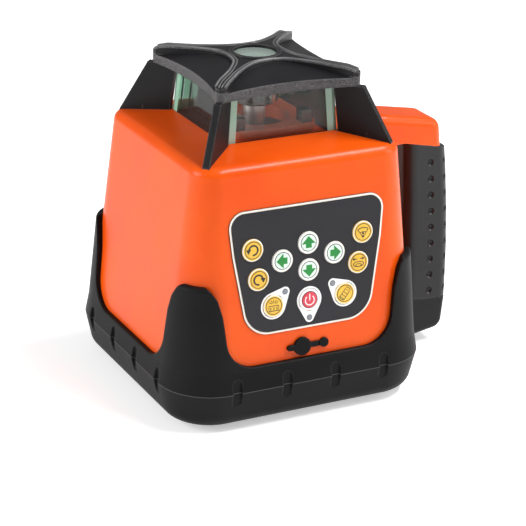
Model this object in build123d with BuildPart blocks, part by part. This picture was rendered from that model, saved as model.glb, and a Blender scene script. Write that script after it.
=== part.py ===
"""Rotating laser level: a surveying instrument that spins a laser beam inside a glazed tower.

The frame has its origin on the tripod thread's axis, in the plane the feet stand on. +Z is up,
along the axis of rotation, -Y is the keypad's side and +X is the handle's side. Millimetres.
"""

import os
from math import atan2, cos, degrees, radians, sin, tan

from build123d import *

os.makedirs("parts", exist_ok=True)

# ---------------------------------------------------------------- driving dimensions
DRAFT = 6.33  # degrees that the housing's walls lean in
SHOULDER_Z, SHOULDER_HALF, SHOULDER_RADIUS = 157.0, 66.2, 14.5  # where wall meets deck
WAIST_Z = 26.0  # widest level of the housing
RIM_Z, RIM_HALF = 9.0, 70.0  # bottom edge of the housing
WALL = 3.0
DECK_Z, DECK_HALF = 161.0, 37.6  # inner edge of the deck, where the windows stand
WELL_Z, WELL_HALF = 159.0, 36.5  # sunk floor that the windows stand on
PLATEAU_Z, PLATEAU_HALF = 164.0, 29.0  # raised floor round the rotor
ROTOR_HOLE_RADIUS = 21.0
CAP_Z = 189.3  # underside of the top cap

GIMBAL_Z = 120.0  # height of the two levelling axes
FACE_Z = 95.0  # height that positions on the front and back faces are measured from
LEAN = radians(DRAFT)
TAPER = tan(LEAN)


def wall_half(z):
    """Half the width of the housing at height z."""
    return SHOULDER_HALF + TAPER * (SHOULDER_Z - z)


def wall_radius(z):
    """Corner radius of the housing at height z."""
    return SHOULDER_RADIUS + TAPER * (SHOULDER_Z - z)


def save(part, name):
    """Labels a finished piece and writes its STEP file."""
    part.label = name
    export_step(part, f"parts/{name}.step")
    print(name, round(part.volume), len(part.solids()), part.is_valid)


def face_plane(side):
    """The plane of one outer face at FACE_Z, with its normal outwards and y up the face."""
    out_x, out_y = {"front": (0, -1), "back": (0, 1), "left": (-1, 0), "right": (1, 0)}[side]
    half = wall_half(FACE_Z)
    return Plane(
        origin=(out_x * half, out_y * half, FACE_Z),
        x_dir=(-out_y, out_x, 0),
        z_dir=(out_x * cos(LEAN), out_y * cos(LEAN), sin(LEAN)),
    )


def up(z):
    """Distance up a leaning face from FACE_Z to height z."""
    return (z - FACE_Z) / cos(LEAN)


FRONT = face_plane("front")
BACK = face_plane("back")

# ---------------------------------------------------------------- housing outlines
SKIRT_TAPER = degrees(atan2(wall_half(WAIST_Z) - RIM_HALF, WAIST_Z - RIM_Z))
DECK_EDGE_ROUND = 6.0


def housing_block(inset, top_z, shoulder_z):
    """The housing's solid outline drawn in by inset, from its rim to the deck."""
    waist = 2 * (wall_half(WAIST_Z) - inset)
    waist_radius = wall_radius(WAIST_Z) - inset
    shoulder = 2 * (wall_half(shoulder_z) - inset)
    with BuildPart() as block:
        with BuildSketch(Plane.XY.offset(WAIST_Z)):
            RectangleRounded(waist, waist, waist_radius)
        extrude(amount=shoulder_z - WAIST_Z, taper=DRAFT)
        with BuildSketch(Plane.XY.offset(WAIST_Z)):
            RectangleRounded(waist, waist, waist_radius)
        extrude(amount=-(WAIST_Z - RIM_Z), taper=SKIRT_TAPER)
        with BuildSketch(Plane.XY.offset(shoulder_z)):
            RectangleRounded(shoulder, shoulder, wall_radius(shoulder_z) - inset)
        with BuildSketch(Plane.XY.offset(top_z)):
            RectangleRounded(2 * DECK_HALF, 2 * DECK_HALF, 5)
        loft(ruled=True)
    return block.part


with BuildPart() as outer_block:
    add(housing_block(0, DECK_Z, SHOULDER_Z))
    fillet(
        outer_block.edges().filter_by(lambda e: abs(e.center().Z - SHOULDER_Z) < 0.01),
        DECK_EDGE_ROUND,
    )
outer_shape = outer_block.part
inner_shape = housing_block(WALL, 156.0, 153.5)

# ---------------------------------------------------------------- keypad layout
KEYPAD_OUTLINE = [(-51, 132), (51, 132), (48.3, 106), (40, 57.5), (-40, 57.5), (-48.3, 106)]
KEYPAD_PROUD = 1.0  # how far the panel stands out of the wall
POCKET_DEPTH = 1.0
KEY_RADIUS = 6.6
KEY_HOLE_RADIUS = 6.9
KEY_FLANGE_RADIUS = 7.9
KEY_PROUD = 1.7
KEYS = {
    "key_turn_left": (-35.8, 109.0),
    "key_scan": (35.8, 109.5),
    "key_turn_right": (-32.6, 91.2),
    "key_speed": (32.6, 91.7),
    "key_left": (-17.0, 100.0),
    "key_right": (17.0, 100.0),
    "key_up": (0.0, 108.3),
    "key_down": (0.0, 92.2),
    "key_alarm": (-23.4, 74.1),
    "key_power": (0.0, 74.2),
    "key_tilt": (23.4, 74.3),
}
LEDS = [(-15.6, 81.5), (15.6, 81.6), (0.0, 63.5)]
LED_RADIUS = 1.5


def keypad_prism(inset, outer, depth):
    """A solid of the keypad's outline drawn in by inset, from outer above the face down by depth."""
    with BuildPart() as prism:
        with BuildSketch(FRONT.offset(outer)) as outline:
            with BuildLine():
                Polyline([(x, up(z)) for x, z in KEYPAD_OUTLINE], close=True)
            make_face()
            fillet(outline.vertices().filter_by(lambda v: v.Y > up(130)), 9.5)
            fillet(outline.vertices().filter_by(lambda v: v.Y < up(58)), 17)
            if inset:
                offset(amount=-inset, mode=Mode.REPLACE)
        extrude(amount=-depth)
    return prism.part


# ---------------------------------------------------------------- battery compartment
DOOR_HALF_WIDTH = 35.5
DOOR_AXIS_Z, DOOR_TOP_Z = 50.0, 102.0
DOOR_THICKNESS = 2.4
BARREL_RADIUS = 1.6  # hinge barrel along the door's bottom edge, flush with the face
PIN_RADIUS = 0.8
KNOB_RADIUS = 9.0
KNOB_Z = 92.0
CELL_RADIUS, CELL_LENGTH = 16.5, 55.0
CELLS_X = [-17.2, 17.2]
CELL_Y = 51.0
TRAY_Y, TRAY_Z, TRAY_TOP_Z = 32.6, 44.0, 104.5
JACK_X, JACK_Z = -5.0, 46.7
JACK_RADIUS, JACK_BORE_RADIUS = 4.2, 3.2
ANCHOR_X = 9.5

door_axis_y = wall_half(DOOR_AXIS_Z) - BARREL_RADIUS / cos(LEAN)

# ---------------------------------------------------------------- upper housing
BOSS_POSITIONS = [(x, y) for x in (-60, 60) for y in (-60, 60)]
CASE_SCREW_RADIUS, CASE_SCREW_LENGTH = 1.75, 20.0
HANDLE_SCREWS = [(62.6, 144.0), (66.4, 15.5)]  # x of each head's inner face, and height
SMALL_SCREW_RADIUS, SMALL_SCREW_LENGTH = 1.5, 10.0
FIN_SCREW_RADIAL = 70.0  # distance from the axis of the screws that hold the fins


def handle_screw_rods():
    """The four screws that hold the handle's two ends to the housing."""
    places = [Location((x, y, z), (0, 90, 0)) for x, z in HANDLE_SCREWS for y in (-8, 8)]
    with BuildPart() as rods:
        with Locations(*places):
            Cylinder(CASE_SCREW_RADIUS, CASE_SCREW_LENGTH, align=(Align.CENTER, Align.CENTER, Align.MIN))
            Cylinder(3.3, 2.2, align=(Align.CENTER, Align.CENTER, Align.MIN))
    return rods.part


with BuildPart() as bosses:
    with BuildSketch(Plane.XY.offset(RIM_Z)):
        with Locations(*BOSS_POSITIONS):
            Circle(5)
    extrude(amount=27)
    with BuildSketch(Plane.XY.offset(RIM_Z)):
        for turn in (45, 135, 225, 315):
            with Locations(Location((0, 0), turn)):
                with Locations((96, 0)):
                    Rectangle(24, 3)
    extrude(amount=27)
    add(inner_shape, mode=Mode.INTERSECT)

with BuildPart() as upper_housing:
    add(outer_shape)
    add(inner_shape, mode=Mode.SUBTRACT)
    add(bosses.part)
    # sunk channel for the windows, with the raised floor and the rotor's hole inside it
    with BuildSketch(Plane.XY.offset(WELL_Z)):
        Rectangle(2 * WELL_HALF, 2 * WELL_HALF)
    extrude(amount=10, mode=Mode.SUBTRACT)
    with BuildSketch(Plane.XY.offset(WELL_Z - 3)):
        RectangleRounded(2 * PLATEAU_HALF, 2 * PLATEAU_HALF, 9)
    extrude(amount=PLATEAU_Z - WELL_Z + 3)
    with BuildSketch(Plane.XY.offset(150)):
        Circle(ROTOR_HOLE_RADIUS)
    extrude(amount=20, mode=Mode.SUBTRACT)
    # screw holes: base screws from below, fin screws up through the deck
    with Locations(*[(x, y, RIM_Z) for x, y in BOSS_POSITIONS]):
        Cylinder(1.75, 32, align=(Align.CENTER, Align.CENTER, Align.CENTER), mode=Mode.SUBTRACT)
    with PolarLocations(FIN_SCREW_RADIAL, 4, start_angle=45):
        with Locations((0, 0, 150)):
            Cylinder(1.5, 40, mode=Mode.SUBTRACT)
    add(handle_screw_rods(), mode=Mode.SUBTRACT)
    # keypad pocket and the window behind it that the keys work through
    add(keypad_prism(0, 4, 4 + POCKET_DEPTH), mode=Mode.SUBTRACT)
    add(keypad_prism(4, 0, 8), mode=Mode.SUBTRACT)
    # charging socket
    with BuildSketch(FRONT.offset(5)):
        with Locations((JACK_X, up(JACK_Z))):
            Circle(JACK_RADIUS)
        with Locations((ANCHOR_X, up(JACK_Z))):
            Circle(1.4)
    extrude(amount=-12, mode=Mode.SUBTRACT)
    # battery opening, with the hinge pin's holes in its side walls
    with BuildSketch(BACK.offset(5)):
        with Locations((0, (up(DOOR_AXIS_Z) - BARREL_RADIUS - 0.8 + up(DOOR_TOP_Z) + 0.4) / 2)):
            Rectangle(2 * DOOR_HALF_WIDTH + 1, up(DOOR_TOP_Z) - up(DOOR_AXIS_Z) + BARREL_RADIUS + 1.2)
    extrude(amount=-12, mode=Mode.SUBTRACT)
    with Locations(Location((0, door_axis_y, DOOR_AXIS_Z), (0, 90, 0))):
        Cylinder(PIN_RADIUS, 2 * DOOR_HALF_WIDTH + 5, mode=Mode.SUBTRACT)
save(upper_housing.part, "upper_housing")

# ---------------------------------------------------------------- base plate, feet and screws
BASE_Z, BASE_HALF = 2.0, 63.0
BASE_TOP_HALF = 66.2
INSERT_RADIUS, INSERT_LENGTH = 10.0, 18.0
THREAD_RADIUS = 6.75  # bore of a 5/8-11 tripod thread
FOOT_POSITIONS = [(x, y) for x in (-48, 48) for y in (-48, 48)]
CHASSIS_SCREWS = [(-29, -44), (29, -44), (-29, 25), (29, 25)]

with BuildPart() as base_plate:
    with BuildSketch(Plane.XY.offset(BASE_Z)):
        RectangleRounded(2 * BASE_HALF, 2 * BASE_HALF, 12)
    with BuildSketch(Plane.XY.offset(6)):
        RectangleRounded(2 * BASE_TOP_HALF, 2 * BASE_TOP_HALF, 13)
    loft(ruled=True)
    with BuildSketch(Plane.XY.offset(6)):
        RectangleRounded(2 * RIM_HALF - 0.6, 2 * RIM_HALF - 0.6, 17)
    extrude(amount=RIM_Z - 6)
    with BuildSketch(Plane.XY):
        Circle(17)
    extrude(amount=INSERT_LENGTH + 1)
    with BuildSketch(Plane.XY):
        Circle(INSERT_RADIUS)
    extrude(amount=INSERT_LENGTH, mode=Mode.SUBTRACT)
    with BuildSketch(Plane.XY.offset(INSERT_LENGTH)):
        Circle(THREAD_RADIUS)
    extrude(amount=5, mode=Mode.SUBTRACT)
    with BuildSketch(Plane.XY):
        with Locations(*FOOT_POSITIONS):
            Circle(7)
    extrude(amount=3.5, mode=Mode.SUBTRACT)
    with Locations(*[(x, y, 0) for x, y in BOSS_POSITIONS]):
        Cylinder(1.75, 30, mode=Mode.SUBTRACT)
        Cylinder(3.4, 9, mode=Mode.SUBTRACT)
    with Locations(*[(x, y, RIM_Z) for x, y in CHASSIS_SCREWS]):
        Cylinder(1.5, 8, mode=Mode.SUBTRACT)
save(base_plate.part, "base_plate")

with BuildPart() as base_feet:
    with BuildSketch():
        with Locations(*FOOT_POSITIONS):
            Circle(7)
    extrude(amount=3.5)
    fillet(base_feet.edges().group_by(Axis.Z)[0], 0.8)
save(base_feet.part, "base_feet")

with BuildPart() as case_screws:
    with Locations(*[(x, y, 2.3) for x, y in BOSS_POSITIONS]):
        Cylinder(3.3, 2.2, align=(Align.CENTER, Align.CENTER, Align.MIN))
        Cylinder(CASE_SCREW_RADIUS, CASE_SCREW_LENGTH, align=(Align.CENTER, Align.CENTER, Align.MIN))
    with BuildSketch(Plane.XY.offset(2.3)):
        with Locations(*BOSS_POSITIONS):
            Rectangle(4, 0.8)
            Rectangle(0.8, 4)
    extrude(amount=1.2, mode=Mode.SUBTRACT)
    add(handle_screw_rods())
save(case_screws.part, "case_screws")

with BuildPart() as tripod_insert:
    with BuildSketch():
        Circle(INSERT_RADIUS)
        Circle(THREAD_RADIUS, mode=Mode.SUBTRACT)
    extrude(amount=INSERT_LENGTH)
save(tripod_insert.part, "tripod_insert")

# ---------------------------------------------------------------- rubber boot
BOOT_SIDE = 84.5
BOOT_RADIUS = 32.0
BOOT_BEND_Z, BOOT_TOP_Z, BOOT_FOOT_Z = 38.0, 90.0, 3.5
BOOT_LOWER_TAPER, BOOT_UPPER_TAPER, BOOT_FOOT_TAPER = 10.4, 5.3, 12.5
FRONT_CUT = [(52.5, 40), (56.5, 73), (59.5, 84), (67, 94)]
SIDE_CUT = [(49, 37.5), (52, 72), (55, 82), (63, 94)]
CUT_RADIUS = 19.0
GROOVES = [-48.5, -16, 16, 48.5]
GROOVE_FACE = 82.6

boot_bend_half = BOOT_SIDE - (BOOT_BEND_Z - WAIST_Z) * tan(radians(BOOT_LOWER_TAPER))
boot_bend_radius = BOOT_RADIUS - (BOOT_SIDE - boot_bend_half)


UPRIGHT = {
    "front": Plane(origin=(0, 0, 0), x_dir=(1, 0, 0), z_dir=(0, -1, 0)),
    "back": Plane(origin=(0, 0, 0), x_dir=(-1, 0, 0), z_dir=(0, 1, 0)),
    "left": Plane(origin=(0, 0, 0), x_dir=(0, -1, 0), z_dir=(-1, 0, 0)),
    "right": Plane(origin=(0, 0, 0), x_dir=(0, 1, 0), z_dir=(1, 0, 0)),
}


def boot_cut(points, side):
    """A prism through one wall of the boot, from the right-hand half of its outline."""
    with BuildPart() as cut:
        with BuildSketch(UPRIGHT[side]) as outline:
            with BuildLine():
                Polyline(points + [(-x, z) for x, z in reversed(points)], close=True)
            make_face()
            fillet(outline.vertices().filter_by(lambda v: v.Y < 41), CUT_RADIUS)
            fillet(outline.vertices().filter_by(lambda v: 70 < v.Y < 90), 8)
        extrude(amount=100)
    return cut.part


with BuildPart() as rubber_boot:
    with BuildSketch(Plane.XY.offset(WAIST_Z)):
        RectangleRounded(2 * BOOT_SIDE, 2 * BOOT_SIDE, BOOT_RADIUS)
    extrude(amount=BOOT_BEND_Z - WAIST_Z, taper=BOOT_LOWER_TAPER)
    with BuildSketch(Plane.XY.offset(BOOT_BEND_Z)):
        RectangleRounded(2 * boot_bend_half, 2 * boot_bend_half, boot_bend_radius)
    extrude(amount=BOOT_TOP_Z - BOOT_BEND_Z, taper=BOOT_UPPER_TAPER)
    fillet(rubber_boot.edges().group_by(Axis.Z)[-1], 2.4)
    with BuildSketch(Plane.XY.offset(WAIST_Z)):
        RectangleRounded(2 * BOOT_SIDE, 2 * BOOT_SIDE, BOOT_RADIUS)
    extrude(amount=-(WAIST_Z - BOOT_FOOT_Z), taper=BOOT_FOOT_TAPER)
    fillet(rubber_boot.edges().group_by(Axis.Z)[0], 9)
    # room for the housing, and for the base plate that its lip is clamped by
    add(outer_shape, mode=Mode.SUBTRACT)
    with BuildSketch():
        RectangleRounded(2 * BASE_TOP_HALF, 2 * BASE_TOP_HALF, 13)
    extrude(amount=6, mode=Mode.SUBTRACT)
    with BuildSketch(Plane.XY.offset(6)):
        RectangleRounded(2 * RIM_HALF, 2 * RIM_HALF, 17.3)
    extrude(amount=RIM_Z - 6, mode=Mode.SUBTRACT)
    # the U-shaped openings that leave four corner towers
    add(boot_cut(FRONT_CUT, "front"), mode=Mode.SUBTRACT)
    add(boot_cut(FRONT_CUT, "back"), mode=Mode.SUBTRACT)
    add(boot_cut(SIDE_CUT, "left"), mode=Mode.SUBTRACT)
    add(boot_cut(SIDE_CUT, "right"), mode=Mode.SUBTRACT)
    # grip grooves across the widest line
    for side in UPRIGHT.values():
        with BuildSketch(side.offset(GROOVE_FACE)):
            with Locations(*[(x, WAIST_Z) for x in GROOVES]):
                SlotCenterToCenter(10.5, 6, rotation=90)
        extrude(amount=5, mode=Mode.SUBTRACT)
    # notch that the handle's foot passes through
    with BuildSketch(UPRIGHT["right"].offset(60)):
        with Locations((0, 18)):
            Rectangle(31, 24)
    extrude(amount=40, mode=Mode.SUBTRACT)
save(rubber_boot.part, "rubber_boot")

# ---------------------------------------------------------------- tower: fins, panes and cap
FIN_THICKNESS = 4.3
FIN_PROFILE = [(53.7, 152), (85.2, 152), (84.9, 157.6), (66.9, CAP_Z), (48.9, CAP_Z)]
PANE_Z = 160.0
PANE_BOTTOM_HALF, PANE_TOP_HALF, PANE_THICKNESS = 36.3, 34.3, 2.8

with BuildPart() as corner_fins:
    for turn in (45, 135, 225, 315):
        direction = (cos(radians(turn)), sin(radians(turn)), 0)
        across = (-direction[1], direction[0], 0)
        with BuildSketch(Plane(origin=(0, 0, 0), x_dir=direction, z_dir=across)):
            with BuildLine():
                Polyline([(r, -z) for r, z in FIN_PROFILE], close=True)
            make_face()
        extrude(amount=FIN_THICKNESS / 2, both=True)
    add(outer_shape, mode=Mode.SUBTRACT)
    with PolarLocations(FIN_SCREW_RADIAL, 4, start_angle=45):
        with Locations((0, 0, 152)):
            Cylinder(1.5, 2 * SMALL_SCREW_LENGTH, mode=Mode.SUBTRACT)
save(corner_fins.part, "corner_fins")

with BuildPart() as small_screws:
    with PolarLocations(FIN_SCREW_RADIAL, 4, start_angle=45):
        with Locations((0, 0, 152)):
            Cylinder(SMALL_SCREW_RADIUS, SMALL_SCREW_LENGTH, align=(Align.CENTER, Align.CENTER, Align.MIN))
            Cylinder(2.8, 2, align=(Align.CENTER, Align.CENTER, Align.MIN))
    # the chassis screws point down
    with Locations(*[Location((x, y, RIM_Z + 6), (180, 0, 0)) for x, y in CHASSIS_SCREWS]):
        Cylinder(SMALL_SCREW_RADIUS, SMALL_SCREW_LENGTH, align=(Align.CENTER, Align.CENTER, Align.MIN))
        Cylinder(2.8, 2, align=(Align.CENTER, Align.CENTER, Align.MIN))
save(small_screws.part, "small_screws")

with BuildPart() as window_panes:
    with BuildSketch(Plane.XY.offset(PANE_Z)):
        Rectangle(2 * PANE_BOTTOM_HALF, 2 * PANE_BOTTOM_HALF)
    with BuildSketch(Plane.XY.offset(CAP_Z)):
        Rectangle(2 * PANE_TOP_HALF, 2 * PANE_TOP_HALF)
    loft(ruled=True)
    with BuildSketch(Plane.XY.offset(PANE_Z)):
        Rectangle(2 * (PANE_BOTTOM_HALF - PANE_THICKNESS), 2 * (PANE_BOTTOM_HALF - PANE_THICKNESS))
    with BuildSketch(Plane.XY.offset(CAP_Z)):
        Rectangle(2 * (PANE_TOP_HALF - PANE_THICKNESS), 2 * (PANE_TOP_HALF - PANE_THICKNESS))
    loft(ruled=True, mode=Mode.SUBTRACT)
    # mitred corners part the four panes
    with BuildSketch(Plane.XY.offset(150)):
        Rectangle(120, 0.3, rotation=45)
        Rectangle(120, 0.3, rotation=-45)
    extrude(amount=60, mode=Mode.SUBTRACT)
save(window_panes.part, "window_panes")

with BuildPart() as window_seal:
    with BuildSketch(Plane.XY.offset(WELL_Z)):
        Rectangle(2 * WELL_HALF, 2 * WELL_HALF)
        Rectangle(2 * WELL_HALF - 8, 2 * WELL_HALF - 8, mode=Mode.SUBTRACT)
    extrude(amount=PANE_Z - WELL_Z)
save(window_seal.part, "window_seal")

CAP_CORNER, CAP_MIDDLE = 47.4, 41.7  # half widths of the cap at its corners and mid-sides
CAP_RIM_Z, CAP_TOP_Z = 195.3, 202.4
CAP_PROFILE = [
    (0, CAP_Z),
    (66.8, CAP_Z),
    (66.6, 193.2),
    (65.0, 196.4),
    (61.6, 198.8),
    (56, 200.2),
    (20, CAP_TOP_Z),
    (0, CAP_TOP_Z),
]
# half of a recess's edge, from its apex beside the lens out to the cap's corner
RECESS_EDGE = [(0, -18.5), (11, -20.5), (24, -29.5), (34.5, -39.8), (42.5, -47.5)]
RECESS_APEX_Z = 200.6
LENS_RADIUS, LENS_SEAT_Z = 13.0, 198.8


def cap_recess():
    """The space above one recess, whose floor slopes down from its apex to the rim."""
    apex = -RECESS_EDGE[0][1]
    fall = atan2(RECESS_APEX_Z - CAP_RIM_Z, CAP_MIDDLE - apex)
    left = [(-x, y) for x, y in reversed(RECESS_EDGE[1:])]
    end_x = RECESS_EDGE[-1][0]
    with BuildPart() as recess:
        with BuildSketch(Plane.XY.offset(CAP_Z)):
            with BuildLine():
                edge = Spline(*left, *RECESS_EDGE)
                Polyline(edge @ 1, (end_x, -60), (-end_x, -60), edge @ 0)
            make_face()
        extrude(amount=20)
        floor = Plane(
            origin=(0, -CAP_MIDDLE, CAP_RIM_Z), x_dir=(1, 0, 0), z_dir=(0, -sin(fall), cos(fall))
        )
        split(bisect_by=floor, keep=Keep.TOP)
    return recess.part


with BuildPart() as top_cap:
    with BuildSketch(Plane.XY.offset(CAP_Z)) as cap_plan:
        with BuildLine():
            ThreePointArc((-CAP_CORNER, -CAP_CORNER), (0, -CAP_MIDDLE), (CAP_CORNER, -CAP_CORNER))
            ThreePointArc((CAP_CORNER, -CAP_CORNER), (CAP_MIDDLE, 0), (CAP_CORNER, CAP_CORNER))
            ThreePointArc((CAP_CORNER, CAP_CORNER), (0, CAP_MIDDLE), (-CAP_CORNER, CAP_CORNER))
            ThreePointArc((-CAP_CORNER, CAP_CORNER), (-CAP_MIDDLE, 0), (-CAP_CORNER, -CAP_CORNER))
        make_face()
        fillet(cap_plan.vertices(), 3.4)
    extrude(amount=20)
    with BuildSketch(Plane.XZ):
        with BuildLine():
            Polyline(CAP_PROFILE, close=True)
        make_face()
    revolve(axis=Axis.Z, mode=Mode.INTERSECT)
    for turn in (0, 90, 180, 270):
        add(cap_recess().rotate(Axis.Z, turn), mode=Mode.SUBTRACT)
    # hollow underside, and the seat of the upward window
    with BuildSketch(Plane.XY.offset(CAP_Z)):
        RectangleRounded(61, 61, 10)
    extrude(amount=3.2, mode=Mode.SUBTRACT)
    with BuildSketch(Plane.XY.offset(CAP_Z)):
        Circle(10.5)
    extrude(amount=20, mode=Mode.SUBTRACT)
    with BuildSketch(Plane.XY.offset(CAP_TOP_Z - 2)):
        Circle(LENS_RADIUS + 2.6)
    extrude(amount=2.8)
    with BuildSketch(Plane.XY.offset(LENS_SEAT_Z)):
        Circle(LENS_RADIUS)
    extrude(amount=10, mode=Mode.SUBTRACT)
    fillet(top_cap.edges().group_by(Axis.Z)[-1], 0.5)
save(top_cap.part, "top_cap")

with BuildPart() as up_window:
    with BuildSketch(Plane.XY.offset(LENS_SEAT_Z)):
        Circle(LENS_RADIUS)
    extrude(amount=2.4)
save(up_window.part, "up_window")

with BuildPart() as ir_receivers:
    with BuildSketch(Plane.XY.offset(PLATEAU_Z)):
        with GridLocations(44, 44, 2, 2):
            Rectangle(7, 7)
    extrude(amount=8)
    fillet(ir_receivers.edges().group_by(Axis.Z)[-1], 1)
save(ir_receivers.part, "ir_receivers")

# ---------------------------------------------------------------- handle
HANDLE_HALF_WIDTH = 15.0
BRIDGE = [
    (60, 158.4),
    (84, 156.4),
    (122.4, 149.8),
    (124.6, 132),
    (97, 137.6),
    (84, 137),
    (74, 128),
    (60, 122),
]
BRIDGE_NOSE_RADIUS, BRIDGE_EDGE_RADIUS = 8.0, 5.5
FOOT = [
    (60, 9.6),
    (71, 9.4),
    (80, 8.4),
    (88, 8.2),
    (96, 5.8),
    (112, 6.0),
    (132, 9.4),
    (133.8, 29.8),
    (107, 31.8),
    (99, 29),
    (98, 22.5),
    (60, 22.5),
]
FOOT_NOSE_RADIUS, FOOT_EDGE_RADIUS = 7.0, 3.5
# height, inner x and outer x of the grip, which bows outwards
GRIP_SECTIONS = [
    (20, 104.5, 135.1),
    (36, 103.5, 135.3),
    (64, 102.7, 134.7),
    (91, 101.8, 133.0),
    (115, 100.6, 130.7),
    (145, 99, 126.9),
]
GRIP_RADIUS = 7.0
GRIP_BOTTOM = [(90, 33.3), (140, 29.5), (140, 0), (90, 0)]  # below the seam with the foot
GRIP_TOP = [(90, 160), (90, 139.2), (140, 128.6), (140, 160)]  # above the seam with the bridge
CORE_SECTIONS = [(15, 112.5, 124), (140, 105, 117)]
DIMPLE_ROWS = [122.7 - 10.8 * row for row in range(9)]
DIMPLE_RADIUS, DIMPLE_LIFT = 2.7, 1.2  # sphere, and how far its centre stands out of the grip


def between(sections, z, column):
    """A section's edge at height z, read between the sections listed."""
    for low, high in zip(sections, sections[1:]):
        if low[0] <= z <= high[0]:
            share = (z - low[0]) / (high[0] - low[0])
            return low[column] + share * (high[column] - low[column])
    return sections[-1][column]


def column_loft(sections, half_width, radius):
    """A solid through rounded rectangles, each between two x values at a height."""
    with BuildPart() as column:
        for z, near, far in sections:
            with BuildSketch(Plane.XY.offset(z)):
                with Locations(((near + far) / 2, 0)):
                    RectangleRounded(far - near, 2 * half_width, radius)
        loft(ruled=True)
    return column.part


def side_profile(points, half_width):
    """A solid of an outline in the XZ plane, centred on y = 0."""
    with BuildPart() as slab:
        with BuildSketch(Plane.XZ):
            with BuildLine():
                Polyline(points, close=True)
            make_face()
        extrude(amount=half_width, both=True)
    return slab.part


core = column_loft(CORE_SECTIONS, 6, 3)

with BuildPart() as handle_frame:
    add(side_profile(BRIDGE, HANDLE_HALF_WIDTH))
    cross_edges = handle_frame.edges().filter_by(Axis.Y)
    nose_edge = cross_edges.filter_by(lambda e: e.center().X > 120 and e.center().Z > 140)
    fillet(cross_edges.filter_by(lambda e: 75 < e.center().X < 100 and e.center().Z < 140), 5)
    fillet(nose_edge, BRIDGE_NOSE_RADIUS)
    fillet(
        handle_frame.edges()
        .filter_by(lambda e: abs(abs(e.center().Y) - HANDLE_HALF_WIDTH) < 0.1)
        .filter_by(lambda e: e.center().X > 80 and (e.center().Z > 141 or e.center().X > 118)),
        BRIDGE_EDGE_RADIUS,
    )
    add(core)
    add(outer_shape, mode=Mode.SUBTRACT)
    add(handle_screw_rods(), mode=Mode.SUBTRACT)
save(handle_frame.part, "handle_frame")

with BuildPart() as handle_foot:
    add(side_profile(FOOT, HANDLE_HALF_WIDTH))
    fillet(
        handle_foot.edges().filter_by(Axis.Y).filter_by(lambda e: e.center().X > 130 and e.center().Z < 20),
        FOOT_NOSE_RADIUS,
    )
    fillet(
        handle_foot.edges()
        .filter_by(lambda e: abs(abs(e.center().Y) - HANDLE_HALF_WIDTH) < 0.1)
        .filter_by(lambda e: e.center().X > 129 or (e.center().Z < 9 and e.center().X > 113)),
        FOOT_EDGE_RADIUS,
    )
    add(outer_shape, mode=Mode.SUBTRACT)
    add(core, mode=Mode.SUBTRACT)
    add(handle_screw_rods(), mode=Mode.SUBTRACT)
save(handle_foot.part, "handle_foot")

with BuildPart() as handle_grip:
    add(column_loft(GRIP_SECTIONS, HANDLE_HALF_WIDTH, GRIP_RADIUS))
    # dimples down both flanks and round both outer corners
    for z in DIMPLE_ROWS:
        outer_x = between(GRIP_SECTIONS, z, 2)
        flank_x = (between(GRIP_SECTIONS, z, 1) + outer_x) / 2 + 1.2
        for side in (-1, 1):
            corner_x = outer_x - GRIP_RADIUS + (GRIP_RADIUS + DIMPLE_LIFT) * sin(radians(30))
            corner_y = HANDLE_HALF_WIDTH - GRIP_RADIUS + (GRIP_RADIUS + DIMPLE_LIFT) * cos(radians(30))
            with Locations(
                (flank_x, side * (HANDLE_HALF_WIDTH + DIMPLE_LIFT), z), (corner_x, side * corner_y, z)
            ):
                Sphere(DIMPLE_RADIUS, mode=Mode.SUBTRACT)
    for outline in (BRIDGE, FOOT, GRIP_TOP, GRIP_BOTTOM):
        add(side_profile(outline, 20), mode=Mode.SUBTRACT)
    add(core, mode=Mode.SUBTRACT)
save(handle_grip.part, "handle_grip")

# ---------------------------------------------------------------- keypad
BOARD_DEPTH, BOARD_THICKNESS = WALL, 1.6

with BuildPart() as keypad_panel:
    # a border step round a slightly higher field
    add(keypad_prism(0, KEYPAD_PROUD - 0.5, KEYPAD_PROUD - 0.5 + POCKET_DEPTH))
    add(keypad_prism(1.3, KEYPAD_PROUD, KEYPAD_PROUD + POCKET_DEPTH))
    with BuildSketch(FRONT.offset(5)):
        with Locations(*[(x, up(z)) for x, z in KEYS.values()]):
            Circle(KEY_HOLE_RADIUS)
        with Locations(*[(x, up(z)) for x, z in LEDS]):
            Circle(LED_RADIUS)
    extrude(amount=-10, mode=Mode.SUBTRACT)
save(keypad_panel.part, "keypad_panel")

with BuildPart() as keypad_board:
    with BuildSketch(FRONT.offset(-BOARD_DEPTH)):
        with Locations((0, up(98.5))):
            Rectangle(96, 78)
    extrude(amount=-BOARD_THICKNESS)
    # dome switches under the keys
    with BuildSketch(FRONT.offset(-BOARD_DEPTH)):
        with Locations(*[(x, up(z)) for x, z in KEYS.values()]):
            Circle(3)
    extrude(amount=0.15)
save(keypad_board.part, "keypad_board")

with BuildPart() as status_leds:
    with BuildSketch(FRONT.offset(-BOARD_DEPTH)):
        with Locations(*[(x, up(z)) for x, z in LEDS]):
            Circle(LED_RADIUS)
    extrude(amount=BOARD_DEPTH + KEYPAD_PROUD + 0.4)
save(status_leds.part, "status_leds")

for name, (x, z) in KEYS.items():
    with BuildPart() as key:
        with BuildSketch(FRONT.offset(KEY_PROUD)):
            with Locations((x, up(z))):
                Circle(KEY_RADIUS)
        extrude(amount=-(KEY_PROUD + POCKET_DEPTH + 1))
        fillet(key.faces().sort_by(Axis.Y)[0].edges(), 0.4)
        with BuildSketch(FRONT.offset(-POCKET_DEPTH - 0.05)):
            with Locations((x, up(z))):
                Circle(KEY_FLANGE_RADIUS)
        extrude(amount=-0.85)
        with BuildSketch(FRONT.offset(-POCKET_DEPTH)):
            with Locations((x, up(z))):
                Circle(2.5)
        extrude(amount=-1.3)
    save(key.part, name)

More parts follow.
